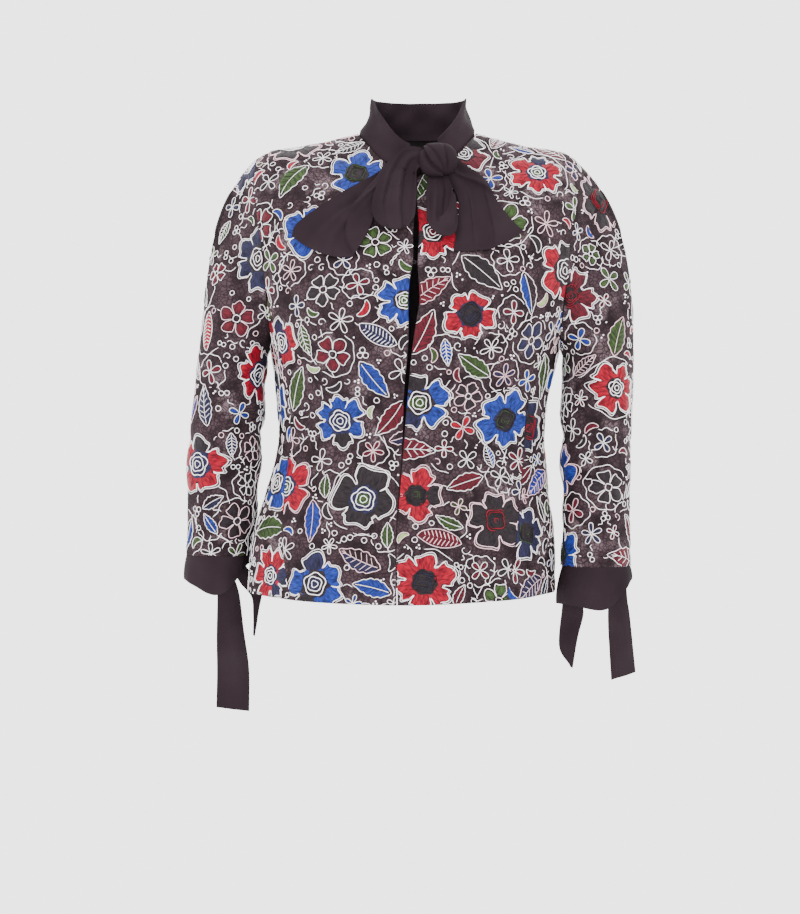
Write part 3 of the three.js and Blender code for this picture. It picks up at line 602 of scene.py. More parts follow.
class NodeGroups:
    """The effects that several materials share, each a node group that is built once."""

    def __init__(self) -> None:
        """Builds every group."""
        self.crepe = self.make_crepe()
        self.net = self.make_net()
        self.stitches = self.make_stitches()

    @staticmethod
    def start(name: str, inputs: dict[str, float], outputs: Sequence[str]) -> tuple[object, object, object]:
        """A new group with its named sockets.

        Args:
            name: the group's name.
            inputs: each number that goes in, and its value.
            outputs: the name of each number that comes out.

        Returns:
            The group, its input node and its output node.
        """
        group = bpy.data.node_groups.new(name, "ShaderNodeTree")
        for socket, value in inputs.items():
            made = group.interface.new_socket(name=socket, in_out="INPUT", socket_type="NodeSocketFloat")
            made.default_value = value
        for socket in outputs:
            group.interface.new_socket(name=socket, in_out="OUTPUT", socket_type="NodeSocketFloat")
        return group, group.nodes.new("NodeGroupInput"), group.nodes.new("NodeGroupOutput")

    def make_crepe(self) -> object:
        """The pebbled grain of silk crepe, and the slow change of its colour.

        Returns:
            The group.
        """
        scales = {"Grain Scale": 900.0, "Cloud Scale": 14.0}
        group, inside, outside = self.start("SilkCrepeGrain", scales, ("Grain", "Cloud"))
        where = add_node(group, "TexCoord")
        grain = add_node(group, "TexNoise", Detail=2)
        cloud = add_node(group, "TexNoise", Detail=4)
        link = group.links.new
        for word, noise in (("Grain", grain), ("Cloud", cloud)):
            link(where.outputs["Object"], noise.inputs["Vector"])
            link(inside.outputs[f"{word} Scale"], noise.inputs["Scale"])
            link(noise.outputs["Fac"], outside.inputs[word])
        return group

    def make_net(self) -> object:
        """The net's tone-on-tone stitching, its thin patches and its mesh of holes.

        Returns:
            The group.
        """
        scales = {"Stitch Scale": 230.0, "Patch Scale": 26.0, "Hole Scale": 900.0}
        group, inside, outside = self.start("NetAndDarkStitching", scales, ("Stitch", "Patch", "Hole", "Tone"))
        where = add_node(group, "TexCoord")
        bent = add_node(group, "TexNoise", Scale=60)
        add = add_node(group, "VectorMath")
        add.operation = "MULTIPLY_ADD"
        add.inputs[1].default_value = (0.012, 0.012, 0.012)
        stitch = add_node(group, "TexVoronoi")
        stitch.feature = "DISTANCE_TO_EDGE"
        hole = add_node(group, "TexVoronoi")
        patch = add_node(group, "TexNoise", Detail=3)
        tone = add_node(group, "TexNoise", Scale=42, Detail=5)
        shape = add_node(group, "MapRange", From_Min=0.0, From_Max=0.16, To_Min=1.0, To_Max=0.0)
        soft = add_node(group, "MapRange", From_Min=0.56, From_Max=0.66)
        link = group.links.new
        for node in (bent, hole, patch, tone):
            link(where.outputs["Object"], node.inputs["Vector"])
        link(bent.outputs["Color"], add.inputs[0])
        link(where.outputs["Object"], add.inputs[2])
        link(add.outputs[0], stitch.inputs["Vector"])
        for word, node in (("Stitch", stitch), ("Hole", hole), ("Patch", patch)):
            link(inside.outputs[f"{word} Scale"], node.inputs["Scale"])
        link(stitch.outputs["Distance"], shape.inputs["Value"])
        link(patch.outputs["Fac"], soft.inputs["Value"])
        link(shape.outputs["Result"], outside.inputs["Stitch"])
        link(soft.outputs["Result"], outside.inputs["Patch"])
        link(hole.outputs["Distance"], outside.inputs["Hole"])
        link(tone.outputs["Fac"], outside.inputs["Tone"])
        return group

    def make_stitches(self) -> object:
        """Rows of satin stitches along a patch's own length, and the change of tone between them.

        Returns:
            The group.
        """
        scales = {"Row Scale": 1.6, "Streak Scale": 0.5}
        group, inside, outside = self.start("SatinStitches", scales, ("Rows", "Streak"))
        where = add_node(group, "UVMap")
        stretch = add_node(group, "VectorMath")
        stretch.operation = "MULTIPLY"
        stretch.inputs[1].default_value = (0.22, 1.0, 1.0)
        streak = add_node(group, "TexNoise", Detail=3)
        rows = add_node(group, "TexNoise")
        link = group.links.new
        link(where.outputs["UV"], stretch.inputs[0])
        for noise, scale, word in ((streak, "Streak Scale", "Streak"), (rows, "Row Scale", "Rows")):
            link(stretch.outputs[0], noise.inputs["Vector"])
            link(inside.outputs[scale], noise.inputs["Scale"])
            link(noise.outputs["Fac"], outside.inputs[word])
        return group


def linear(*srgb: int) -> Colour:
    """A colour on a 0 to 255 screen scale, as linear light with alpha 1."""
    scaled = [c / 255 for c in srgb]
    return tuple(c / 12.92 if c <= 0.04045 else ((c + 0.055) / 1.055) ** 2.4 for c in scaled) + (1.0,)


@dataclass(frozen=True)
class Finish:
    """A finish: its shader settings, and the group and ramp that vary its colour and relief."""

    name: str
    dark: Colour
    light: Colour
    roughness: float
    relief: float
    sheen: float = 0.0
    metallic: float = 0.0
    specular: float = 0.18
    sheen_roughness: float = 0.6

    def start(self) -> tuple[object, object, object]:
        """A material with its shader's plain numbers set.

        Returns:
            The material, its node tree and its shader.
        """
        material = bpy.data.materials.new(self.name)
        material.use_nodes = True
        shader = material.node_tree.nodes["Principled BSDF"]
        shader.inputs["Roughness"].default_value = self.roughness
        shader.inputs["Metallic"].default_value = self.metallic
        shader.inputs["Specular IOR Level"].default_value = self.specular
        shader.inputs["Sheen Weight"].default_value = self.sheen
        shader.inputs["Sheen Roughness"].default_value = self.sheen_roughness
        material.diffuse_color = self.light
        return material, material.node_tree, shader

    def ramp(self, tree: object, low: float, high: float) -> object:
        """A colour ramp from the dark to the light colour.

        Args:
            tree: the material's node tree.
            low: where the dark ends.
            high: where the light starts.

        Returns:
            The ramp's node.
        """
        ramp = tree.nodes.new("ShaderNodeValToRGB")
        ramp.color_ramp.elements[0].position = low
        ramp.color_ramp.elements[0].color = self.dark
        ramp.color_ramp.elements[1].position = high
        ramp.color_ramp.elements[1].color = self.light
        return ramp

    def bump(self, tree: object, shader: object, height: object, distance: float) -> None:
        """Feeds a height to the shader's normal.

        Args:
            tree: the material's node tree.
            shader: its shader.
            height: the socket of the height.
            distance: its depth in metres.
        """
        node = tree.nodes.new("ShaderNodeBump")
        node.inputs["Strength"].default_value = self.relief
        node.inputs["Distance"].default_value = distance
        tree.links.new(height, node.inputs["Height"])
        tree.links.new(node.outputs["Normal"], shader.inputs["Normal"])


    def grained(
        self, group: object, tone: str, height: str, span: tuple[float, float], depth: float
    ) -> tuple[bpy.types.Material, object]:
        """A material whose colour and relief follow a shared group.

        Args:
            group: the node group.
            tone: its output for the colour.
            height: its output for the relief.
            span: where the colour starts and ends its change.
            depth: the relief's depth in metres.

        Returns:
            The material and the group's node in it.
        """
        material, tree, shader = self.start()
        node = add_node(tree, "Group")
        node.node_tree = group
        ramp = self.ramp(tree, *span)
        tree.links.new(node.outputs[tone], ramp.inputs["Fac"])
        tree.links.new(ramp.outputs["Color"], shader.inputs["Base Color"])
        self.bump(tree, shader, node.outputs[height], depth)
        return material, node


@dataclass(frozen=True)
class SilkFinish(Finish):
    """Matte silk crepe."""

    def build(self, groups: NodeGroups) -> bpy.types.Material:
        """The material, with crepe grain and a soft change of tone."""
        return self.grained(groups.crepe, "Cloud", "Grain", (0.3, 0.7), 0.0004)[0]


@dataclass(frozen=True)
class NetFinish(Finish):
    """Dark net with tone-on-tone stitching, and paler patches where it is thin."""

    thin: Colour = linear(86, 72, 76)

    @staticmethod
    def blend(tree: object, mask: object, under: object, over: Colour) -> object:
        """Lays a colour over another where a mask is light.

        Args:
            tree: the material's node tree.
            mask: the socket of the mask.
            under: the socket of the colour below.
            over: the colour on top.

        Returns:
            The socket of the new colour.
        """
        node = add_node(tree, "Mix")
        node.data_type = "RGBA"
        tree.links.new(mask, node.inputs[MIX_SHARE])
        tree.links.new(under, node.inputs[MIX_UNDER])
        node.inputs[MIX_OVER].default_value = over
        return node.outputs[MIX_RESULT]

    def build(self, groups: NodeGroups) -> bpy.types.Material:
        """The material, with its stitching, thin patches and holes.

        Args:
            groups: the shared groups.

        Returns:
            The material.
        """
        material, tree, shader = self.start()
        net = add_node(tree, "Group")
        net.node_tree = groups.net
        ramp = self.ramp(tree, 0.35, 0.65)
        tree.links.new(net.outputs["Tone"], ramp.inputs["Fac"])
        thinned = self.blend(tree, net.outputs["Patch"], ramp.outputs["Color"], self.thin)
        stitched = self.blend(tree, net.outputs["Stitch"], thinned, self.dark)
        tree.links.new(stitched, shader.inputs["Base Color"])
        height = add_node(tree, "Math")
        height.operation = "ADD"
        tree.links.new(net.outputs["Stitch"], height.inputs[0])
        tree.links.new(net.outputs["Hole"], height.inputs[1])
        self.bump(tree, shader, height.outputs[0], 0.0008)
        return material


@dataclass(frozen=True)
class ThreadFinish(Finish):
    """Embroidery thread laid in rows of satin stitch, or a couched cord."""

    def build(self, groups: NodeGroups) -> bpy.types.Material:
        """The material, with streaks of tone along the stitches."""
        return self.grained(groups.stitches, "Streak", "Rows", (0.32, 0.62), 0.0009)[0]


@dataclass(frozen=True)
class WireFinish(Finish):
    """Black lacquered wire."""

    wear: float = 400

    def build(self, groups: NodeGroups) -> bpy.types.Material:
        """The material, with slight wear in its lacquer.

        Args:
            groups: the shared groups.

        Returns:
            The material.
        """
        material, crepe = self.grained(groups.crepe, "Cloud", "Grain", (0.4, 0.75), 0.0001)
        crepe.inputs["Cloud Scale"].default_value = self.wear
        return material


@dataclass
class Finishes:
    """Every material of the jacket."""

    groups: NodeGroups = field(default_factory=NodeGroups)

    def __post_init__(self) -> None:
        """Builds the materials from the shared groups."""
        make = self.groups
        silk = SilkFinish("SilkCrepe", linear(26, 18, 22), linear(37, 28, 33), 0.75, 0.2, specular=0.05)
        self.silk = silk.build(make)
        net = NetFinish("EmbroideredNet", linear(26, 18, 21), linear(60, 46, 51), 0.85, 0.5, specular=0.08)
        self.net = net.build(make)
        self.lining = SilkFinish("NetWrongSide", linear(24, 18, 20), linear(38, 31, 33), 0.85, 0.3, 0.02).build(make)
        self.wire = WireFinish("BlackWire", linear(20, 19, 20), linear(38, 36, 37), 0.35, 0.2, 0.0, 0.5).build(make)
        threads = {
            Thread.CORD: ("CordWhite", (236, 226, 230), (255, 252, 253)),
            Thread.RED: ("StitchRed", (62, 0, 12), (142, 3, 30)),
            Thread.BLUE: ("StitchBlue", (5, 12, 50), (26, 48, 130)),
            Thread.NAVY: ("StitchNavy", (8, 7, 20), (30, 29, 58)),
            Thread.GREEN: ("StitchGreen", (12, 20, 8), (50, 70, 32)),
            Thread.PALE_GREEN: ("StitchPaleGreen", (96, 118, 68), (150, 168, 112)),
            Thread.BURGUNDY: ("StitchBurgundy", (32, 4, 10), (84, 14, 28)),
            Thread.CHARCOAL: ("StitchCharcoal", (9, 5, 8), (32, 25, 29)),
            Thread.PINK: ("CordPink", (222, 178, 188), (248, 216, 222)),
        }
        self.threads = [
            ThreadFinish(name, linear(*dark), linear(*light), 0.5, 0.5, 0.02, specular=0.1).build(make)
            for name, dark, light in (threads[t] for t in Thread)
        ]


def make_object(
    name: str, points: Grid, faces: Sequence[Sequence[int]] | Grid, materials: Sequence[object]
) -> bpy.types.Object:
    """A smooth mesh object in the scene.

    Args:
        name: the object's name.
        points: its points, in mm.
        faces: its faces, as point numbers.
        materials: its materials.

    Returns:
        The object, which rides on the jacket's one body.
    """
    mesh = bpy.data.meshes.new(name)
    rows = faces.tolist() if isinstance(faces, np.ndarray) else faces
    mesh.from_pydata((np.asarray(points).reshape(-1, 3) * MM).tolist(), [], rows)
    mesh.polygons.foreach_set("use_smooth", np.ones(len(mesh.polygons), bool))
    for material in materials:
        mesh.materials.append(material)
    thing = bpy.data.objects.new(name, mesh)
    bpy.context.scene.collection.objects.link(thing)
    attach(thing, "root")
    return thing


@dataclass
class ClothPiece:
    """One cut piece of cloth: a thin shell inside its outer face, and what it was cut to."""

    node: str
    surface: Surface
    columns: int
    rows: int
    thickness: float
    flat: tuple[float, float]
    area: float
    held: Hold
    rests_on: tuple[str, ...]
    slot: str = "net"
    sharp: float = 60 * DEG

    @property
    def name(self) -> str:
        """The piece's name in the scene."""
        return f"{self.slot}_{self.node}"

    def build(self, outer: object, inner: object) -> bpy.types.Object:
        """Makes the shell and puts it in place of its CAD node.

        Args:
            outer: the material of the right side.
            inner: the material of the wrong side.

        Returns:
            The shell.
        """
        across = self.columns if self.surface.round else self.columns + 1
        u, v = np.meshgrid(np.arange(across) / self.columns, np.linspace(0, 1, self.rows + 1))
        points = self.surface.at(u, v)
        normals = self.surface.normal(u, v)
        under = points - normals * self.thickness
        count = across * (self.rows + 1)
        i, j = np.meshgrid(np.arange(self.rows), np.arange(self.columns), indexing="ij")
        a = i * across + j
        b = i * across + (j + 1) % across
        c, d = b + across, a + across
        top = np.stack([a, b, c, d], -1).reshape(-1, 4)
        faces = [top, top[:, ::-1] + count]
        low = np.arange(self.columns)
        nxt = (low + 1) % across
        faces.append(np.stack([low, low + count, nxt + count, nxt], -1))
        high, high_next = low + self.rows * across, nxt + self.rows * across
        faces.append(np.stack([high, high_next, high_next + count, high + count], -1))
        if not self.surface.round:
            edge = np.arange(self.rows) * across
            faces.append(np.stack([edge, edge + across, edge + across + count, edge + count], -1))
            edge = edge + across - 1
            faces.append(np.stack([edge, edge + count, edge + across + count, edge + across], -1))
        quads = np.concatenate(faces)
        if self.surface.outward < 0:
            quads = quads[:, ::-1]
        both = np.concatenate([points.reshape(-1, 3), under.reshape(-1, 3)])
        shell = make_object(self.name, both, quads, [outer, inner])
        index = np.zeros(len(quads), int)
        index[len(top) : 2 * len(top)] = 1
        shell.data.polygons.foreach_set("material_index", index)
        shell.data.set_sharp_from_angle(angle=self.sharp)
        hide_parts(self.node)
        log.info("%s: %d faces", self.name, len(quads))
        return shell

    def declare(self, shell: bpy.types.Object, with_pieces: Sequence[bpy.types.Object] = ()) -> None:
        """Args:
            shell: the cloth. Not used.
            with_pieces: what is sewn on it. Not used.
        """


@dataclass
class Cord:
    """A couched cord on the cloth, as flat points about its motif's middle, in mm."""

    points: Grid
    radius: float = 0.95
    thread: Thread = Thread.CORD
    closed: bool = False
    lift: float = 0.0


@dataclass
class Patch:
    """A satin-stitched patch: a flat outline in mm, its thread, height and the way its stitches run."""

    outline: Grid
    thread: Thread
    height: float = 0.8
    grain: float = 0.0


@dataclass
class Motif:
    """What is sewn at one place."""

    cords: list[Cord] = field(default_factory=list)
    patches: list[Patch] = field(default_factory=list)


def polar(angle: Grid, radius: Grid) -> Grid:
    """Flat points at those angles and distances."""
    return np.stack([np.cos(angle) * radius, np.sin(angle) * radius], -1)


def turned(points: Grid, angle: float) -> Grid:
    """Flat points turned about 0."""
    c, s = math.cos(angle), math.sin(angle)
    return points @ np.array([[c, s], [-s, c]])


def shrunk(outline: Grid, by: float) -> Grid:
    """The outline drawn in towards its middle by a distance in mm.

    Args:
        outline: its points.
        by: the distance.

    Returns:
        The smaller outline.
    """
    middle = outline.mean(axis=0)
    away = outline - middle
    far = np.maximum(np.linalg.norm(away, axis=1, keepdims=True), 1e-6)
    return middle + away * np.maximum(1 - by / far, 0.25)


@dataclass
class MotifMaker:
    """Draws the garden's own flowers, leaves, rings and knots."""

    rng: np.random.Generator
    second_edge: float = 2.5

    def pick(self, *threads: Thread) -> Thread:
        """One of the threads by chance."""
        return threads[int(self.rng.integers(len(threads)))]

    def outline_thread(self) -> Thread:
        """The cord's thread, which is now and then pink."""
        return Thread.PINK if self.rng.random() < 0.2 else Thread.CORD

    def ruffled(self, radius: float, lobes: int, depth: float, count: int = 26) -> Grid:
        """A closed ring with that many soft lobes.

        Args:
            radius: its reach in mm.
            lobes: how many lobes.
            depth: how deep they are, as a share.
            count: how many points.

        Returns:
            Its outline.
        """
        t = np.linspace(0, 2 * math.pi, count, endpoint=False)
        start = self.rng.uniform(0, 2 * math.pi)
        wave = np.abs(np.sin(lobes * t / 2 + start)) ** 0.7
        return polar(t + start, radius * (1 - depth + depth * wave + 0.03 * np.sin(3 * t + start)))

    def petal(self, angle: float, half: float, low: float, high: float, count: int = 17) -> Grid:
        """A broad ruffled petal that springs from a ring.

        Args:
            angle: the petal's direction.
            half: half the angle that it may fill.
            low: the ring's radius.
            high: the petal's reach.
            count: how many points it has.

        Returns:
            Its outline, from one foot over the tip to the other.
        """
        t = np.linspace(0, math.pi, count)
        rise = np.sin(t).clip(0)
        sweep = -half * self.rng.uniform(0.84, 0.97) * np.sign(np.cos(t)) * np.abs(np.cos(t)) ** 0.75
        waves = int(self.rng.choice([4, 5, 6, 7]))
        ruffle = 1 + 0.085 * np.sin(t * waves + self.rng.uniform(0, 6)) * rise
        return polar(angle + sweep, (low + (high - low) * rise**0.62) * ruffle)

    def loop(self, angle: float, near: float, far: float, half: float, count: int = 12) -> Grid:
        """A small rounded petal, as a closed loop.

        Args:
            angle: the petal's direction.
            near: how far from the middle it starts.
            far: how far from the middle it ends.
            half: half its width.
            count: how many points it has.

        Returns:
            Its outline.
        """
        t = np.linspace(0, 2 * math.pi, count, endpoint=False)
        out = (near + far) / 2 + (far - near) / 2 * np.cos(t)
        side = half * np.sin(t) * (0.82 + 0.3 * np.cos(t))
        return turned(np.stack([out, side], -1), angle)

    def bloom(self, size: float) -> Motif:
        """A large open flower with a stitched heart or a rosette.

        Args:
            size: its reach in mm.

        Returns:
            The motif.
        """
        rng = self.rng
        count = int(rng.choice([4, 5, 5, 6]))
        colour = self.pick(*[Thread.RED] * 5, *[Thread.BLUE] * 5, *[Thread.NAVY] * 2, Thread.BURGUNDY, Thread.CHARCOAL)
        heart = float(rng.uniform(0.4, 0.5)) * size
        turn = rng.uniform(0, 2 * math.pi)
        thread = self.outline_thread()
        made = Motif(patches=[Patch(self.ruffled(size * 0.6, count, 0.06, 26), colour, 0.8, turn)])
        contour = []
        for k in range(count):
            angle = turn + 2 * math.pi * (k + rng.uniform(-0.07, 0.07)) / count
            half = math.pi / count
            outline = self.petal(angle, half, size * rng.uniform(0.5, 0.7), size * rng.uniform(0.86, 1.06))
            contour.append(outline)
            foot = polar(angle + np.array([0.75, 0.0, -0.75]) * half, heart * 0.85)
            petal_colour = colour if rng.random() < 0.88 else self.pick(Thread.CHARCOAL, Thread.NAVY)
            made.patches.append(Patch(shrunk(np.concatenate([outline, foot]), 0.8), petal_colour, 1.0, angle))
            for share in (-0.35, 0.3):
                vein = polar(angle + half * share * np.array([0.9, 1.0, 1.1, 1.2]), np.linspace(heart, size * 0.86, 4))
                made.cords.append(Cord(vein, 0.55, Thread.CHARCOAL, lift=0.9))
        # A dark thread patch under the heart: painted shade where the petals' feet go in under the raised heart.
        rim = self.ruffled(heart * 1.22, 7, 0.2, 26)
        made.patches.append(Patch(rim, self.pick(Thread.CHARCOAL, Thread.NAVY), 1.15))
        edge = np.concatenate(contour)
        made.cords.append(Cord(edge, 0.95, thread, closed=True))
        made.cords.append(Cord(edge * (1 + self.second_edge / size), 0.8, thread, closed=True))
        if rng.random() < 0.5:
            self.dark_heart(made, heart, colour)
        else:
            self.rosette(made, heart * 0.86)
        return made

    def dark_heart(self, made: Motif, heart: float, colour: Thread) -> None:
        """Adds a dark stitched disc with nested curved stitches.

        Args:
            made: the flower.
            heart: the disc's radius.
            colour: the petals' thread.
        """
        rng = self.rng
        made.patches.append(Patch(self.ruffled(heart, 5, 0.14, 18), Thread.CHARCOAL, 1.5))
        others = (Thread.GREEN, Thread.NAVY) if colour is Thread.RED else (Thread.RED, Thread.GREEN, Thread.GREEN)
        accent = self.pick(*others)
        for share in (0.92, 0.74, 0.55, 0.36, 0.18):
            start = rng.uniform(0, 6)
            arc = np.linspace(start, start + rng.uniform(3.0, 5.4), 14)
            thread = accent if rng.random() < 0.62 else Thread.CHARCOAL
            made.cords.append(Cord(polar(arc, heart * share * (1 + 0.12 * np.sin(arc * 4))), 0.95, thread, lift=1.4))

    def rosette(self, made: Motif, heart: float) -> None:
        """Adds a rosette of thick nested cords over a pale ground.

        Args:
            made: the flower.
            heart: the rosette's radius.
        """
        ground = self.pick(Thread.GREEN, Thread.NAVY, Thread.BURGUNDY, Thread.CHARCOAL)
        made.patches.append(Patch(self.ruffled(heart, 5, 0.1, 18), ground, 1.2))
        for share, lobes, radius in ((0.98, 5, 1.15), (0.64, 4, 1.1), (0.3, 3, 1.0)):
            made.cords.append(Cord(self.ruffled(heart * share, lobes, 0.22, 20), radius, closed=True, lift=1.0))

    def flower(self, size: float) -> Motif:
        """A middling flower, mostly drawn in cord, with a ringed heart.

        Args:
            size: its reach in mm.

        Returns:
            The motif.
        """
        rng = self.rng
        count = 5
        colour = self.pick(Thread.BURGUNDY, Thread.NAVY, Thread.GREEN, Thread.CHARCOAL, Thread.BLUE, Thread.CHARCOAL)
        turn, heart, thread = rng.uniform(0, 2 * math.pi), size * 0.3, self.outline_thread()
        made = Motif()
        contour = []
        for k in range(count):
            angle = turn + 2 * math.pi * k / count
            outline = self.petal(angle, math.pi / count, heart, size * rng.uniform(0.9, 1.02), 13)
            contour.append(outline)
            made.patches.append(Patch(shrunk(outline, 1.6), colour, 0.8, angle))
        made.cords.append(Cord(np.concatenate(contour), 0.82, thread, closed=True))
        made.cords.append(Cord(self.ruffled(heart * 0.7, 4, 0.15, 12), 0.9, closed=True, lift=0.4))
        return made

    def small_flower(self, size: float) -> Motif:
        """A small flower of four or five looped petals.

        Args:
            size: its reach in mm.

        Returns:
            The motif.
        """
        rng = self.rng
        count = int(rng.choice([4, 4, 4, 5]))
        bright = (Thread.RED, Thread.BLUE, Thread.NAVY, *[Thread.GREEN] * 2, *[Thread.BURGUNDY] * 2)
        colour = self.pick(*bright, Thread.CHARCOAL, Thread.CORD)
        turn, thread = rng.uniform(0, 2 * math.pi), self.outline_thread()
        made = Motif()
        for k in range(count):
            angle = turn + 2 * math.pi * k / count + rng.uniform(-0.06, 0.06)
            outline = self.loop(angle, size * 0.08, size * rng.uniform(0.92, 1.04), size * 1.12 / count)
            made.cords.append(Cord(outline, 0.78, thread, closed=True))
            if colour is not Thread.CORD:
                made.patches.append(Patch(shrunk(outline, 1.3), colour, 0.8, angle))
        return made

    def leaf(self, size: float) -> Motif:
        """A pointed leaf with its midrib and veins, stitched on both halves.

        Args:
            size: half its length in mm.

        Returns:
            The motif.
        """
        rng = self.rng
        dark = (Thread.NAVY, Thread.BURGUNDY, Thread.CHARCOAL, Thread.BLUE, Thread.BURGUNDY)
        colour = self.pick(Thread.GREEN, Thread.GREEN, *dark)
        width = size * rng.uniform(0.4, 0.5)
        bend = rng.uniform(-0.14, 0.14) * size
        thread = self.outline_thread()
        s = np.linspace(0, 1, 17)
        x = (2 * s - 1) * size
        half = width * np.sin(math.pi * s).clip(0) ** 0.8 * (1.15 - 0.4 * s)
        spine = bend * (1 - (2 * s - 1) ** 2)
        teeth = 1 + 0.09 * np.sin(11 * math.pi * s)
        upper = np.stack([x, spine + half * teeth], -1)
        lower = np.stack([x, spine - half * teeth], -1)
        rib = np.stack([x, spine], -1)
        around = Cord(np.concatenate([upper, lower[-2:0:-1]]), 0.82, thread, closed=True)
        made = Motif([around, Cord(rib[1:-1], 0.7, thread, lift=0.5)])
        vein_thread = thread if rng.random() < 0.5 else Thread.CHARCOAL
        for sign, edge in ((1, upper), (-1, lower)):
            if rng.random() < 0.9:
                blade = shrunk(np.concatenate([edge[1:-1], rib[-2:0:-1]]), 0.9)
                made.patches.append(Patch(blade, colour, 0.7, sign * 0.8))
            for k in range(3, 14, 2):
                share = np.linspace(0.04, 0.8, 4)[:, None]
                vein = mix(rib[k][None], edge[min(k + 2, 16)][None], share)
                made.cords.append(Cord(vein, 0.55, vein_thread, lift=0.7))
        return made

    def frond(self, size: float) -> Motif:
        """A fern frond of short slanting dashes inside a thin outline.

        Args:
            size: half its length in mm.

        Returns:
            The motif.
        """
        colour = self.pick(Thread.NAVY, Thread.BURGUNDY, Thread.CHARCOAL, Thread.RED)
        thread = self.outline_thread()
        made = Motif()
        s = np.linspace(0, 1, 13)
        half = size * 0.4 * np.sin(math.pi * np.clip(s * 0.96 + 0.02, 0, 1)) ** 0.75
        x = (2 * s - 1) * size
        edge = np.concatenate([np.stack([x, half], -1), np.stack([x[::-1][1:-1], -half[::-1][1:-1]], -1)])
        made.cords.append(Cord(edge, 0.8, thread, closed=True))
        made.patches.append(Patch(shrunk(edge, 1.4), colour, 0.5, 0.6))
        for k in range(9):
            foot = size * (-0.8 + 0.18 * k)
            reach = float(np.interp((foot + size * 0.1) / size, 2 * s - 1, half)) * 0.82
            for up in (1, -1):
                low, high = np.array([[foot, up * 0.6], [foot + reach * 0.45, up * reach]])
                dash = mix(low, high, np.linspace(0, 1, 4)[:, None])
                made.cords.append(Cord(dash, 0.75, thread, lift=0.5))
        return made

    def rings(self, size: float) -> Motif:
        """A short chain of cord rings.

        Args:
            size: its reach in mm.

        Returns:
            The motif.
        """
        rng = self.rng
        made = Motif()
        turn = rng.uniform(0, 6)
        for _ in range(int(rng.choice([2, 3, 3]))):
            turn += rng.uniform(1.9, 2.4)
            middle = polar(np.array([turn]), size * 0.52)[0]
            made.cords.append(Cord(middle + self.ruffled(size * 0.42, 3, 0.08, 10), 0.8, closed=True))
        return made

    def ring(self, size: float) -> Motif:
        """One cord ring."""
        return Motif([Cord(self.ruffled(size * 0.85, 3, 0.08, 9), 0.75, self.outline_thread(), closed=True)])

    def knots(self, size: float) -> Motif:
        """A scatter of white knots.

        Args:
            size: its reach in mm.

        Returns:
            The motif.
        """
        made = Motif()
        t = np.linspace(0, 2 * math.pi, 8, endpoint=False)
        for k in range(int(self.rng.choice([1, 2, 3]))):
            middle = polar(np.array([2.1 * k + self.rng.uniform(0, 0.6)]), size * 0.6)[0]
            made.patches.append(Patch(middle + polar(t, size * 0.3), Thread.CORD, 1.5))
        return made

    def bean(self, size: float) -> Motif:
        """A curled pod outlined in cord.

        Args:
            size: its reach in mm.

        Returns:
            The motif.
        """
        colour = self.pick(Thread.BURGUNDY, Thread.PALE_GREEN, Thread.GREEN, Thread.BLUE, Thread.RED, Thread.CHARCOAL)
        t = np.linspace(-0.9, 0.9, 9)
        spine = polar(t * 1.1 + 1.57, size * 0.9) - np.array([0, size * 0.75])
        half = size * 0.3 * np.cos(t * 1.45)
        out = polar(t * 1.1 + 1.57, 1.0)
        outline = np.concatenate([spine + out * half[:, None], (spine - out * half[:, None])[::-1]])
        cord = Cord(outline, 0.85, self.outline_thread(), closed=True)
        return Motif([cord], [Patch(shrunk(outline, 1.1), colour, 0.7)])

    def curl(self, size: float) -> Motif:
        """A curled tendril.

        Args:
            size: its reach in mm.

        Returns:
            The motif.
        """
        t = np.linspace(0, 1, 13)
        spiral = polar(t * self.rng.uniform(4.2, 6.4), size * (0.22 + 0.75 * t))
        return Motif([Cord(spiral, 0.75, self.outline_thread())])


ROUND = ((0.0, 1.0),)
LONG = ((0.0, 0.46), (0.58, 0.32), (-0.58, 0.32))
WIDE = ((0.0, 0.5), (0.5, 0.4), (-0.5, 0.4))


@dataclass(frozen=True)
class Sowing:
    """A kind of motif and how it is sown: its sizes, its room, its tries and the discs that it fills."""

    kind: str
    least: float
    most: float
    room: float
    tries: int
    discs: tuple[tuple[float, float], ...] = ROUND


@dataclass
class Placed:
    """A motif in its place: shares, the point and the two flat directions there, and its size."""

    shares: Grid
    frame: Grid
    size: float
    motif: Motif


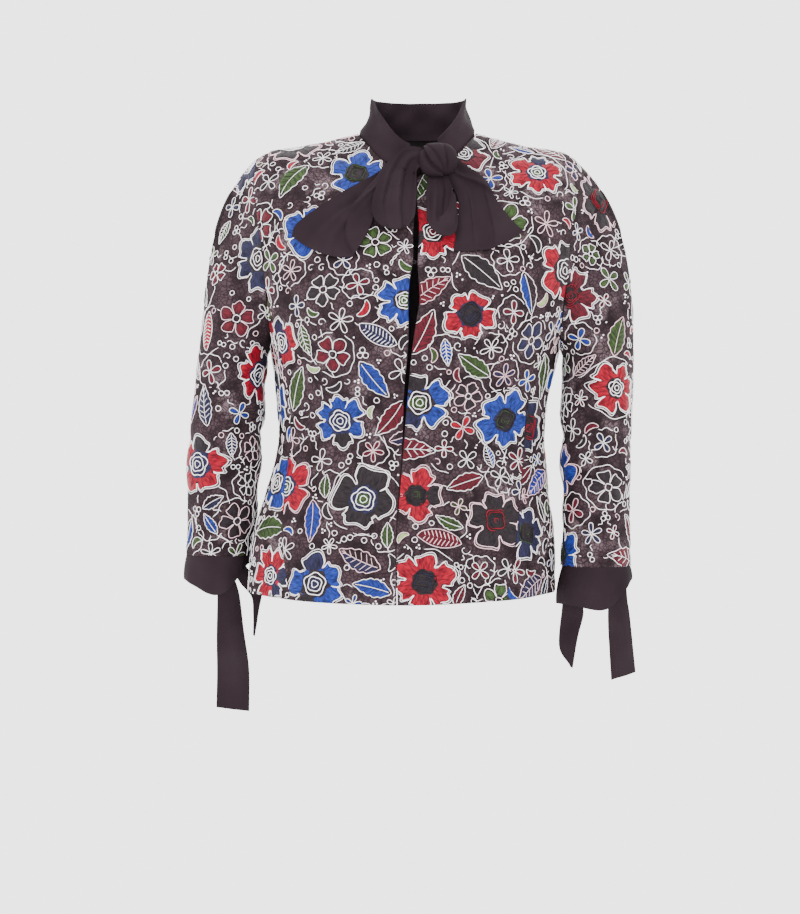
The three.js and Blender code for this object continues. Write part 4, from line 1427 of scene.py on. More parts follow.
@dataclass
class Embroidery:
    """All that is sewn on one piece of cloth."""

    name: str
    surface: Surface
    seed: int
    sowings: tuple[Sowing, ...] = (
        Sowing("bloom", 27, 35, 25, 420),
        Sowing("flower", 18, 23, 16, 110),
        Sowing("leaf", 22, 31, 7, 60, LONG),
        Sowing("frond", 22, 28, 6, 26, LONG),
        Sowing("small_flower", 12, 15.5, 3, 600),
        Sowing("flower", 13, 17, 2, 240),
        Sowing("leaf", 13, 19, 2.4, 120, LONG),
        Sowing("bean", 9, 13, 2, 260, WIDE),
        Sowing("small_flower", 8.5, 11, 1.8, 700),
        Sowing("rings", 6, 7.5, 1.8, 600),
        Sowing("curl", 4.6, 6.5, 1.6, 400),
        Sowing("ring", 3, 3.8, 1.6, 700),
        Sowing("knots", 3, 4, 1.4, 600),
    )
    fineness: float = 0.56
    close: float = 1.75
    directions: int = 6
    echo_gap: float = 3.2
    echo_least: float = 11
    echo_round: float = 24
    echo_chance: float = 0.7
    echo_chance_large: float = 0.3
    echo_clear: float = 0.9
    stems: int = 70
    stem_least: float = 5
    stem_short: float = 4
    stem_long: float = 30
    stem_points: int = 12
    stem_wave: float = 3.0
    stem_reach: float = 0.95
    stray: float = 1.5
    least_run: int = 4
    joined: float = 0.4
    taper: float = 0.35
    stitch_step: float = 1.6
    profile: tuple[tuple[float, float], ...] = ((1.0, 0.05), (0.0, 1.3), (-1.0, 0.05))
    dome: tuple[tuple[float, float], ...] = ((1.0, 0.1), (0.86, 0.75), (0.45, 1.0))
    dome_top: float = 1.05

    def build(self, threads: Sequence[object]) -> list[bpy.types.Object]:
        """Sows the motifs and sews them.

        Args:
            threads: the thread materials.

        Returns:
            The cords and the stitched patches.
        """
        rng = np.random.default_rng(self.seed)
        self.placed: list[Placed] = []
        self.sow(rng, MotifMaker(rng))
        for old in list(self.placed):
            chance = self.echo_chance_large if old.size > self.echo_round else self.echo_chance
            if old.size >= self.echo_least and rng.random() < chance:
                t = np.linspace(0, 2 * math.pi, 48)
                wave = 2.6 * np.abs(np.sin(rng.integers(3, 5) * t / 2 + rng.uniform(0, 6))) + 0.8 * np.sin(9 * t)
                echo = Motif([Cord(polar(t, old.size + self.echo_gap + wave), 0.8)])
                self.placed.append(Placed(old.shares, old.frame, -old.size, echo))
        self.stem(rng)
        sewn = (self.sew_cords(threads), self.sew_patches(threads))
        return [x for x in sewn if x is not None]

    def sow(self, rng: np.random.Generator, maker: MotifMaker) -> None:
        """Places each kind of motif where there is room, the largest first.

        Args:
            rng: the source of chance.
            maker: what draws the motifs.
        """
        self.middles, self.radii = np.empty((0, 3)), np.empty(0)
        for sowing in self.sowings:
            shares = rng.uniform(0, 1, (sowing.tries, 2))
            points = self.surface.at(shares[:, 0], shares[:, 1])
            du, dv = self.surface.slopes(shares[:, 0], shares[:, 1])
            weight = np.linalg.norm(np.cross(du, dv), axis=-1)
            kept = rng.uniform(0, 1, sowing.tries) < weight / weight.max()
            sizes = rng.uniform(sowing.least, sowing.most, sowing.tries)
            across = unit(du)
            along = unit(np.cross(np.cross(du, dv), across))
            steps = np.arange(self.directions) * math.pi / self.directions
            turns = rng.uniform(0, 2 * math.pi, (sowing.tries, 1)) + steps
            reach = np.array([d[0] for d in sowing.discs])
            filled = np.array([d[1] for d in sowing.discs])
            for i in np.flatnonzero(kept):
                for turn in turns[i][: 1 if len(sowing.discs) == 1 else self.directions]:
                    first = across[i] * math.cos(turn) + along[i] * math.sin(turn)
                    discs = points[i] + first * (reach * sizes[i])[:, None]
                    radii = filled * sizes[i]
                    away = np.linalg.norm(self.middles[None] - discs[:, None], axis=-1)
                    if (away > self.radii[None] + radii[:, None] + sowing.room).all():
                        second = along[i] * math.cos(turn) - across[i] * math.sin(turn)
                        motif = getattr(maker, sowing.kind)(float(sizes[i]))
                        where = np.stack([points[i], first, second])
                        self.placed.append(Placed(shares[i], where, float(sizes[i]), motif))
                        self.middles = np.vstack([self.middles, discs])
                        self.radii = np.append(self.radii, radii)
                        break

    def stem(self, rng: np.random.Generator) -> None:
        """Joins some neighbouring motifs by wandering stems.

        Args:
            rng: the source of chance.
        """
        real = [p for p in self.placed if p.size > self.stem_least]
        points = np.array([p.frame[0] for p in real])
        sizes = np.array([p.size for p in real])
        away = np.linalg.norm(points[:, None] - points[None], axis=-1) - sizes[:, None] - sizes[None]
        pairs = [
            (i, int(j))
            for i in range(len(real))
            for j in np.argsort(away[i])[1:5]
            if i < j and self.stem_short < away[i, j] < self.stem_long
        ]
        rng.shuffle(pairs)
        for i, j in pairs[: self.stems]:
            a, b = real[i], real[j]
            toward = b.frame[0] - a.frame[0]
            end = np.array([toward @ a.frame[1], toward @ a.frame[2]])
            span = np.linalg.norm(end)
            reach = self.stem_reach
            t = np.linspace(a.size / span * reach, 1 - b.size / span * reach, self.stem_points)
            side = np.array([-end[1], end[0]]) / span
            swell = np.sin(math.pi * np.linspace(0, 1, self.stem_points))
            wave = self.stem_wave * np.sin(7 * t + rng.uniform(0, 6)) * swell
            line = t[:, None] * end + side * wave[:, None]
            self.placed.append(Placed(a.shares, a.frame, STEM_SIZE, Motif([Cord(line, 0.75)])))

    def smooth(self, points: Grid) -> Grid:
        """The points, with one more between each two on a soft curve where they lie far apart.

        Args:
            points: flat points in mm.

        Returns:
            The denser points.
        """
        if len(points) < 4 or np.linalg.norm(np.diff(points, axis=0), axis=1).mean() < self.close:
            return points
        before = np.concatenate([points[:1], points[:-2]])
        after = np.concatenate([points[2:], points[-1:]])
        middle = (9 * (points[:-1] + points[1:]) - before - after) / 16
        out = np.empty((2 * len(points) - 1, 2))
        out[0::2], out[1::2] = points, middle
        return out

    def spread(self, flats: list[Grid], owners: list[Placed]) -> tuple[Grid, Grid]:
        """Lays groups of flat points on the cloth, each about its owner's middle.

        Args:
            flats: the groups of points.
            owners: the placed motif of each group.

        Returns:
            The shares, and how far each is from its true place in mm.
        """
        counts = [len(f) for f in flats]
        start = np.repeat(np.array([o.shares for o in owners]), counts, axis=0)
        frames = np.repeat(np.array([o.frame for o in owners]), counts, axis=0)
        return self.surface.spread(np.concatenate(flats), start, frames)

    def sew_cords(self, threads: Sequence[object]) -> bpy.types.Object | None:
        """The raised cords, as one mesh of fine flattened tubes.

        Args:
            threads: the thread materials.

        Returns:
            The cords, if any lie on the cloth.
        """
        flats, owners, cords = [], [], []
        for placed in self.placed:
            for cord in placed.motif.cords:
                points = np.concatenate([cord.points, cord.points[:1]]) if cord.closed else cord.points
                flats.append(self.smooth(points))
                owners.append(placed)
                cords.append(cord)
        shares, miss = self.spread(flats, owners)
        good = self.surface.inside(shares) & (miss < self.stray)
        starts = np.concatenate([[0], np.cumsum([len(f) for f in flats])])
        centre = self.surface.at(shares[:, 0], np.clip(shares[:, 1], 0, 1))
        for k, owner in enumerate(owners):
            if owner.size < 0:
                part = slice(starts[k], starts[k + 1])
                away = np.linalg.norm(centre[part][:, None] - self.middles[None], axis=-1)
                clear = (away > self.radii[None] + self.echo_clear).all(axis=1)
                good[part] &= clear | (owner.size == STEM_SIZE)
        runs = []
        for k, cord in enumerate(cords):
            a, b = starts[k], starts[k + 1]
            edges = np.flatnonzero(np.diff(np.concatenate([[0], good[a:b].astype(int), [0]])))
            runs += [(a + x, a + y, cord) for x, y in zip(edges[::2], edges[1::2]) if y - x >= self.least_run]
        if not runs:
            return None
        lengths = [b - a for a, b, _ in runs]
        pick = np.concatenate([np.arange(a, b) for a, b, _ in runs])
        centre = centre[pick]
        normal = self.surface.normal(shares[pick, 0], shares[pick, 1])
        radius = np.repeat([c.radius * self.fineness for _, _, c in runs], lengths)
        lift = np.repeat([c.lift for _, _, c in runs], lengths)
        starts = np.concatenate([[0], np.cumsum(lengths)])
        along = np.empty_like(centre)
        for a, b in zip(starts[:-1], starts[1:]):
            along[a:b] = np.gradient(centre[a:b], axis=0)
            if np.linalg.norm(centre[a] - centre[b - 1]) > self.joined:
                radius[[a, b - 1]] *= self.taper
        side = unit(np.cross(unit(along), normal))
        n = len(self.profile)
        ring = np.stack(
            [centre + side * x * radius[:, None] + normal * (h * radius + lift)[:, None] for x, h in self.profile], 1
        )
        first = np.concatenate([np.arange(a, b - 1) for a, b in zip(starts[:-1], starts[1:])])
        k = np.arange(n)
        a, b = first[:, None] * n + k, first[:, None] * n + (k + 1) % n
        quads = np.stack([a, b, b + n, a + n], -1).reshape(-1, 4)
        sewn = make_object(f"{self.name}_cords", ring, quads, threads)
        colour = np.repeat([c.thread.value for _, _, c in runs], lengths)[first]
        sewn.data.polygons.foreach_set("material_index", np.repeat(colour, n).astype(int))
        flat = np.stack([np.arange(len(centre)) * self.stitch_step, np.zeros(len(centre))], -1)
        sewn.data.uv_layers.new(name="UVMap").data.foreach_set("uv", flat[quads // n].reshape(-1).astype(float))
        log.info("%s: %d cord faces, %d motifs", self.name, len(quads), len(self.placed))
        return sewn

    def clipped(self, outline: Grid) -> Grid:
        """An outline with what lies beyond the cloth's edges cut away.

        Args:
            outline: rows of two shares and two flat numbers.

        Returns:
            The rows of the part on the cloth, which may be none.
        """
        ends, sides = ((1, 0.0, 1), (1, 1.0, -1)), ((0, 0.0, 1), (0, 1.0, -1))
        for column, bound, keep in ends if self.surface.round else ends + sides:
            if not len(outline):
                break
            side = (outline[:, column] - bound) * keep
            after, side_after = np.roll(outline, -1, axis=0), np.roll(side, -1)
            rows = []
            for p, q, a, b in zip(outline, after, side, side_after):
                if a >= 0:
                    rows.append(p)
                if (a >= 0) != (b >= 0):
                    rows.append(p + (q - p) * (a / (a - b)))
            outline = np.array(rows).reshape(-1, 4)
        return outline

    def sew_patches(self, threads: Sequence[object]) -> bpy.types.Object | None:
        """The satin-stitched patches, as one mesh of low domes.

        Args:
            threads: the thread materials.

        Returns:
            The patches, if any lie on the cloth.
        """
        pairs = [(placed, patch) for placed in self.placed for patch in placed.motif.patches]
        shares, miss = self.spread([patch.outline for _, patch in pairs], [placed for placed, _ in pairs])
        levels = len(self.dome)
        rows, lifts, faces, colours, total, at = [], [], [], [], 0, 0
        for _, patch in pairs:
            n = len(patch.outline)
            outline = np.hstack([shares[at : at + n], turned(patch.outline, -patch.grain)])
            far = miss[at : at + n].max()
            at += n
            if far > self.stray:
                continue
            if not self.surface.inside(outline).all():
                outline = self.clipped(outline)
            n = len(outline)
            if n < 5 or np.ptp(outline[:, 2]) < 1 or np.ptp(outline[:, 3]) < 1:
                continue
            middle = outline.mean(axis=0)
            for scale, lift in self.dome:
                rows.append(middle + (outline - middle) * scale)
                lifts.append(np.full(n, lift * patch.height))
            rows.append(middle[None])
            lifts.append(np.full(1, self.dome_top * patch.height))
            k = np.arange(n)
            after = (k + 1) % n
            for level in range(levels - 1):
                a = total + level * n
                faces += np.stack([a + k, a + after, a + n + after, a + n + k], -1).tolist()
            a = total + (levels - 1) * n
            faces += np.stack([a + k, a + after, np.full(n, a + n)], -1).tolist()
            colours += [patch.thread.value] * (n * levels)
            total += n * levels + 1
        if not faces:
            return None
        table = np.concatenate(rows)
        u, v = table[:, 0], np.clip(table[:, 1], 0, 1)
        if not self.surface.round:
            u = np.clip(u, 0, 1)
        points = self.surface.at(u, v) + self.surface.normal(u, v) * np.concatenate(lifts)[:, None]
        if self.surface.outward < 0:
            faces = [f[::-1] for f in faces]
        sewn = make_object(f"{self.name}_stitches", points, faces, threads)
        sewn.data.polygons.foreach_set("material_index", np.array(colours, int))
        corner = np.empty(len(sewn.data.loops), int)
        sewn.data.loops.foreach_get("vertex_index", corner)
        uv = sewn.data.uv_layers.new(name="UVMap")
        uv.data.foreach_set("uv", table[:, 2:][corner].reshape(-1).astype(float))
        log.info("%s: %d stitched faces", self.name, len(faces))
        return sewn


@dataclass
class BodyPanels:
    """The two fronts, the two sides and the back."""

    form: WornBody
    thickness: float = 1.2

    def pieces(self) -> list[ClothPiece]:
        """Each panel with its cut.

        Returns:
            The five pieces.
        """
        form, made = self.form, []
        for side in Side:
            sign, word = side.value, side.name.lower()
            front = Surface(lambda u, v, s=sign: form.point(*form.front(s, u, v)), sign)
            beside = Surface(lambda u, v, s=sign: form.point(*form.side_panel(s, u, v)), sign)
            made += [
                ClothPiece(
                    f"front_{word}", front, 48, 132, self.thickness,
                    (232, 640), 91500, Hold.HUNG, (f"side_{word}", "back", "neck_band"),
                ),
                ClothPiece(
                    f"side_{word}", beside, 56, 90, self.thickness,
                    (226, 350), 48500, Hold.HUNG, (f"front_{word}", f"sleeve_{word}"),
                ),
            ]
        back = Surface(lambda u, v: form.point(*form.back(u, v)), 1)
        made.append(
            ClothPiece(
                "back", back, 84, 132, self.thickness,
                (432, 600), 184000, Hold.HUNG, ("front_right", "front_left", "neck_band"),
            )
        )
        return made


@dataclass
class Sleeve:
    """A set-in bracelet sleeve and its slanting silk cuff."""

    form: WornBody
    side: Side
    rings: tuple[Ring, ...]
    lean: float
    cuff_inner: float
    cuff_front: float
    cuff_outer: float
    cuff_back: float
    inner_flare: float
    outer_flare: float
    cuff_area: float
    folds: tuple[SleeveFold, ...]
    crease_depth: float = 1.6
    crease_length: float = 58
    crease_slant: float = 0.9
    leave: float = 0.34
    enter: float = 0.4
    swing_from: float = 0.2
    swing_over: float = 0.45
    underarm: float = 0.3
    seam_gap: float = 0.3
    cap_rows: int = 8
    lower_rows: int = 11
    cap_step: float = 3
    cap_cuts: int = 28
    cap_ease: float = 11
    cap_edge: float = 0.12
    thickness: float = 1.2

    def __post_init__(self) -> None:
        """Prepares the ring table and the cap's grid."""
        self.table = SmoothTable(self.rings, "z")
        self.cap_grid = self.ease_cap()

    @property
    def word(self) -> str:
        """The wearer's side, in words."""
        return self.side.name.lower()

    def ring(self, z: Grid, turn: Grid, folded: bool = True) -> Grid:
        """The sleeve below the cap, at a height and a turn from the body's side by the front.

        Args:
            z: the height.
            turn: the turn in radians.
            folded: whether the fine folds are on it.

        Returns:
            Points in mm.
        """
        s = self.table.at(z)
        low = (self.rings[0].z - z) / (self.rings[0].z - self.rings[-1].z)
        crease = np.sin(2 * math.pi * z / self.crease_length + self.crease_slant * np.cos(turn) * math.pi)
        soft = self.crease_depth * crease * np.sin(math.pi * np.clip(low, 0, 1)) * (0.6 + 0.4 * np.cos(turn))
        if folded:
            for f in self.folds:
                away = (np.degrees(turn) - f.angle + 540) % 360 - 180
                height = z - f.z - f.slant * away
                soft = soft - f.depth * bell(away / f.spread) * bell(height / f.height)
        sign = self.side.value
        x = s["x"] - sign * (s["half_x"] + soft) * np.cos(turn)
        y = s["y"] - (s["half_y"] + soft) * np.sin(turn)
        return np.stack([x, y, np.broadcast_to(z, x.shape)], -1)

    def cap(self, turn: Grid, t: Grid) -> Grid:
        """The sleeve's way from the armhole out over the shoulder and down to its first ring.

        Args:
            turn: from the underarm by the front, in radians.
            t: the share of the way down.

        Returns:
            Points in mm.
        """
        sign, form = self.side.value, self.form
        angle, level = form.armhole(turn, sign)
        start = form.point(angle, level, folded=False)
        d = 0.01
        up = np.minimum(level, form.neckline - 1)
        around = form.point(angle + d, up, False) - form.point(angle - d, up, False)
        along = form.point(angle, up + 1, False) - form.point(angle, up - 1, False)
        normal = unit(np.cross(around, along))
        rim = form.point(*form.armhole(turn + DEG, sign), False) - form.point(*form.armhole(turn - DEG, sign), False)
        into = unit(np.cross(rim, normal)) * sign
        high = ((1 - np.cos(turn)) / 2)[..., None]
        down = unit(np.array([sign * self.underarm, 0.0, -1.0]))
        away = unit(mix(down, into, ease((high - self.swing_from) / self.swing_over)))
        start = start + away * self.seam_gap + normal * self.seam_gap * (1 - ease(high / self.underarm))
        end = self.ring(np.full(np.shape(turn), self.rings[0].z), turn, folded=False)
        reach = np.linalg.norm(start - end, axis=-1, keepdims=True)
        first = start + away * reach * self.leave
        lean = self.lean * (0.5 - np.cos(turn) / 2)
        second = end + np.stack([-sign * lean, np.zeros_like(lean), np.ones_like(lean)], -1) * reach * self.enter
        t = t[..., None]
        return (1 - t) ** 3 * start + 3 * t * (1 - t) ** 2 * first + 3 * t * t * (1 - t) * second + t**3 * end

    def ease_cap(self) -> Grid:
        """The cap on a fine grid, with its crease over the shoulder eased but its two edges kept.

        Returns:
            The grid's points in mm, with one more row beyond each edge.
        """
        turn, t = np.meshgrid(np.arange(0, 360, self.cap_step) * DEG, np.linspace(0, 1, self.cap_cuts + 1))
        made = self.cap(turn, t)
        shift = np.arange(-6, 7)
        weight = np.exp(-((shift * self.cap_step / self.cap_ease) ** 2))
        eased = sum(w * np.roll(made, k, axis=1) for w, k in zip(weight / weight.sum(), shift))
        inside = (ease(t / self.cap_edge) * ease((1 - t) / self.cap_edge))[..., None]
        made = mix(made, eased, inside)
        return np.concatenate([2 * made[:1] - made[1:2], made, 2 * made[-1:] - made[-2:-1]])

    def eased_cap(self, turn: Grid, t: Grid) -> Grid:
        """The eased cap at any turn and share of its way down.

        Args:
            turn: from the underarm by the front, in radians.
            t: the share of the way down.

        Returns:
            Points in mm.
        """
        column, row = turn / DEG / self.cap_step, t * self.cap_cuts
        i, j = np.floor(column).astype(int), np.minimum(np.floor(row).astype(int), self.cap_cuts - 1)
        across, down = cubic(column - i), cubic(row - j)
        count = self.cap_grid.shape[1]
        made = np.zeros(np.shape(turn) + (3,))
        for a in range(4):
            for b in range(4):
                made += (down[a] * across[b])[..., None] * self.cap_grid[j + a, (i + b - 1) % count]
        return made

    def point(self, u: Grid, v: Grid) -> Grid:
        """The sleeve's outer face, from the underarm round by the front, and from the armhole down.

        Args:
            u: share across.
            v: share along.

        Returns:
            Points in mm.
        """
        u, v = np.broadcast_arrays(np.asarray(u, float), np.asarray(v, float))
        turn = u * 2 * math.pi
        row = v * (self.cap_rows + self.lower_rows)
        t = np.clip(row / self.cap_rows, 0, 1)
        z = mix(self.rings[0].z, self.rings[-1].z, np.clip((row - self.cap_rows) / self.lower_rows, 0, 1))
        return np.where((row <= self.cap_rows)[..., None], self.eased_cap(turn, t), self.ring(z, turn))

    def cuff_point(self, u: Grid, v: Grid) -> Grid:
        """The cuff's outer face, from the underarm side round by the front, and down.

        Args:
            u: share across.
            v: share along.

        Returns:
            Points in mm.
        """
        turn = u * 2 * math.pi
        end = self.rings[-1]
        top = self.ring(np.full(np.shape(turn), end.z), turn, folded=False)
        inward = (1 + np.cos(turn)) / 2
        ahead = np.sin(turn)
        sideways = mix(self.cuff_outer, self.cuff_inner, ease(inward))
        drop = mix(sideways, np.where(ahead > 0, self.cuff_front, self.cuff_back), np.abs(ahead) ** 3)
        out = unit(np.stack([top[..., 0] - end.x, top[..., 1] - end.y, np.zeros_like(turn)], -1))
        swing = mix(self.outer_flare, self.inner_flare, inward) * np.sin(math.pi * 0.6 * v)
        ripple = 0.7 * np.sin(5 * turn + 1.3) * v * v + 0.5 * np.sin(11 * turn) * v
        made = top + out * (swing + ripple)[..., None]
        made[..., 2] = end.z - self.seam_gap - drop * v
        return made

    def pieces(self) -> list[ClothPiece]:
        """The sleeve and its cuff, each with its cut.

        Returns:
            The two pieces.
        """
        sign, word = self.side.value, self.word
        return [
            ClothPiece(
                f"sleeve_{word}", Surface(self.point, -sign, True), 72, 120, self.thickness,
                (330, 455), 106000, Hold.HUNG, (f"side_{word}", f"front_{word}", "back"),
            ),
            ClothPiece(
                f"cuff_{word}", Surface(self.cuff_point, -sign, True), 96, 16, 1.0,
                (262, 50), self.cuff_area, Hold.HUNG, (f"sleeve_{word}",), "silk",
            ),
        ]


@dataclass
class NeckBand:
    """The silk band that stands on the neckline and leans in to its top edge."""

    form: WornBody
    front_height: float = 34
    side_height: float = 41
    top_centre: float = 4.5
    top_half: float = 54.5
    top_front: float = 61
    top_back: float = 54
    start: float = 22.5 * DEG
    end: float = 348.75 * DEG
    tuck: float = 1.6
    tuck_share: float = 0.12

    def point(self, u: Grid, v: Grid) -> Grid:
        """The band's outer face, from the wearer's left of the knot round the back, and up.

        Args:
            u: share across.
            v: share along.

        Returns:
            Points in mm.
        """
        angle = mix(self.start, self.end, u)
        level = np.full(np.shape(angle), self.form.neckline)
        foot = self.form.point(angle, level, folded=False)
        tucked = self.tuck * (1 - ease(v / self.tuck_share))
        depth = np.where(np.cos(angle) > 0, self.top_front, self.top_back)
        lean = np.sin(v * math.pi / 2)
        high = mix(self.front_height, self.side_height, ease(1 - np.clip(np.cos(angle), 0, 1)))
        soft = np.sin(math.pi * v)
        crush = 1.7 * np.sin(5.3 * angle - 4.4 * v) * soft + 0.9 * np.sin(9.7 * angle + 5 * v + 1) * soft
        crush = crush + 0.5 * np.sin(13 * angle - 4 * v) * v
        x = mix(foot[..., 0], self.top_centre + self.top_half * np.sin(angle), lean) + (crush - tucked) * np.sin(angle)
        y = mix(foot[..., 1], -depth * np.cos(angle), lean) - (crush - tucked) * np.cos(angle)
        return np.stack([x, y, foot[..., 2] - tucked + high * v], -1)

    def piece(self) -> ClothPiece:
        """The band with its cut.

        Returns:
            The piece.
        """
        return ClothPiece(
            "neck_band", Surface(self.point, 1.0), 130, 20, 1.0,
            (380, 44), 16200, Hold.FOLDED, ("front_right", "front_left", "back"), "silk",
        )


@dataclass
class SilkStrip:
    """A strip of silk along its stations: a bow loop, a bow tail or a wrist tie."""

    node: str
    stations: tuple[Station, ...]
    flat: tuple[float, float]
    area: float
    held: Hold
    rests_on: tuple[str, ...]
    form: WornBody | None = None
    pleats: float = 1.0
    crumple: float = 0.0
    columns: int = 20
    rows: int = 64
    folds: tuple[StripFold, ...] = ()
    thickness: float = 1.2
    stand_off: float = 0.6
    rounds: int = 60

    def __post_init__(self) -> None:
        """Prepares the stations as a table."""
        numbered = [NumberedStation(*astuple(s), at=float(i)) for i, s in enumerate(self.stations)]
        self.table = SmoothTable(numbered, "at")

    def off_body(self, x: Grid, z: Grid, off: Grid) -> Grid:
        """Points that stand off the body's front by that much.

        Args:
            x: their place across.
            z: their height.
            off: how far they stand off.

        Returns:
            Points in mm.
        """
        form = self.form
        angle, level = np.zeros(np.shape(x)), np.full(np.shape(x), form.armhole_high)
        for _ in range(self.rounds):
            p = form.point(angle, level, folded=False)
            angle = angle + (x - p[..., 0]) / form.sections[-1].half / 2
            level = np.clip(level + (z - p[..., 2]) * 0.7, 0, form.neckline)
        return np.stack([x, form.point(angle, level, folded=False)[..., 1] - off, z], -1)

    def sheet(self, u: Grid, v: Grid) -> Grid:
        """The strip before its pleats.

        Args:
            u: share across.
            v: share along.

        Returns:
            Points in mm.
        """
        s = self.table.at(v * (len(self.stations) - 1))
        x = mix(s["xa"], s["xb"], u)
        z = mix(s["za"], s["zb"], u) - s["sag"] * 4 * u * (1 - u)
        y = mix(s["ya"], s["yb"], u)
        return np.stack([x, y, z], -1) if self.form is None else self.off_body(x, z, y)

    def point(self, u: Grid, v: Grid) -> Grid:
        """The strip's outer face, with its pleats and crumples.

        Args:
            u: share across.
            v: share along.

        Returns:
            Points in mm.
        """
        u, v = np.broadcast_arrays(np.asarray(u, float), np.asarray(v, float))
        base = self.sheet(u, v)
        flat = Surface(self.sheet)
        facing = flat.normal(u, v)
        fold = self.table.at(v * (len(self.stations) - 1))["fold"]
        wave = fold * np.sin(2 * math.pi * (self.pleats * u + 0.13))
        fine = np.sin(9 * u + 7 * v) + 0.6 * np.sin(17 * u - 12 * v + 1.7) + 0.5 * np.sin(23 * v + 5 * u)
        large = sum((f.lift(u, v) for f in self.folds), np.zeros(u.shape))
        return base + facing * (wave + large + self.stand_off + self.crumple * fine * 0.5)[..., None]

    def piece(self) -> ClothPiece:
        """The strip with its cut.

        Returns:
            The piece.
        """
        return ClothPiece(
            self.node, Surface(self.point), self.columns, self.rows, self.thickness,
            self.flat, self.area, self.held, self.rests_on, "silk",
        )


@dataclass(frozen=True)
class KnotWrap:
    """The edge of one wrap over the knot, a line across it seen from the front."""

    angle: float
    offset: float
    bend: float
    width: float
    groove: float
    step: float

    def relief(self, across: Grid, up: Grid) -> Grid:
        """How far the silk falls at the edge and steps up beyond it.

        Args:
            across: the place over the knot, from -1 to 1.
            up: the place up the knot, from -1 to 1.

        Returns:
            The relief, as a share of the knot's half size.
        """
        c, s = math.cos(self.angle), math.sin(self.angle)
        along = up * c - across * s
        away = (across * c + up * s - self.offset + self.bend * along**2) / self.width
        return self.step * np.tanh(away) / 2 - self.groove * np.exp(-(away**2))


@dataclass
class BowKnot:
    """The knot of the bow, a soft body of wrapped silk."""

    x: float = 24.5
    y: float = -82
    z: float = -21.5
    width: float = 44
    depth: float = 30
    height: float = 46
    blunt: float = 0.2
    wraps: tuple[KnotWrap, ...] = (
        KnotWrap(8 * DEG, 0.5, 0.1, 0.1, 0.24, -0.08),
        KnotWrap(43 * DEG, -0.42, -0.25, 0.1, 0.3, 0.12),
        KnotWrap(33 * DEG, 0.1, 0.2, 0.07, 0.17, 0.03),
    )
    around: int = 120
    down: int = 80

    def build(self, silk: object) -> bpy.types.Object:
        """Makes the knot with its slanting wraps.

        Args:
            silk: the silk material.

        Returns:
            The knot.
        """
        turn, tip = np.meshgrid(
            np.linspace(0, 2 * math.pi, self.around, endpoint=False), np.linspace(0, math.pi, self.down + 1)[1:-1]
        )
        across, up = np.sin(tip) * np.cos(turn), np.cos(tip)
        wrap = 1 + sum(w.relief(across, up) for w in self.wraps) * np.sin(tip) ** 0.5
        x = self.x + self.width / 2 * wrap * np.sin(tip) * np.cos(turn)
        y = self.y + self.depth / 2 * wrap * np.sin(tip) * np.sin(turn)
        z = self.z + self.height / 2 * np.cos(tip) * (1 - self.blunt + self.blunt * np.sin(tip))
        points = np.stack([x, y, z], -1).reshape(-1, 3)
        reach = self.height / 2 * (1 - self.blunt)
        points = np.vstack([[self.x, self.y, self.z + reach], points, [self.x, self.y, self.z - reach]])
        n, last = self.around, len(points) - 1
        k = np.arange(n)
        nxt = (k + 1) % n
        faces = np.stack([np.zeros(n, int), 1 + k, 1 + nxt], -1).tolist()
        for i in range(self.down - 2):
            a = 1 + i * n
            faces += np.stack([a + k, a + n + k, a + n + nxt, a + nxt], -1).tolist()
        a = 1 + (self.down - 2) * n
        faces += np.stack([np.full(n, last), a + nxt, a + k], -1).tolist()
        knot = make_object("silk_bow_knot", points, faces, [silk])
        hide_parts("bow_knot")
        log.info("silk_bow_knot: %d faces", len(faces))
        return knot


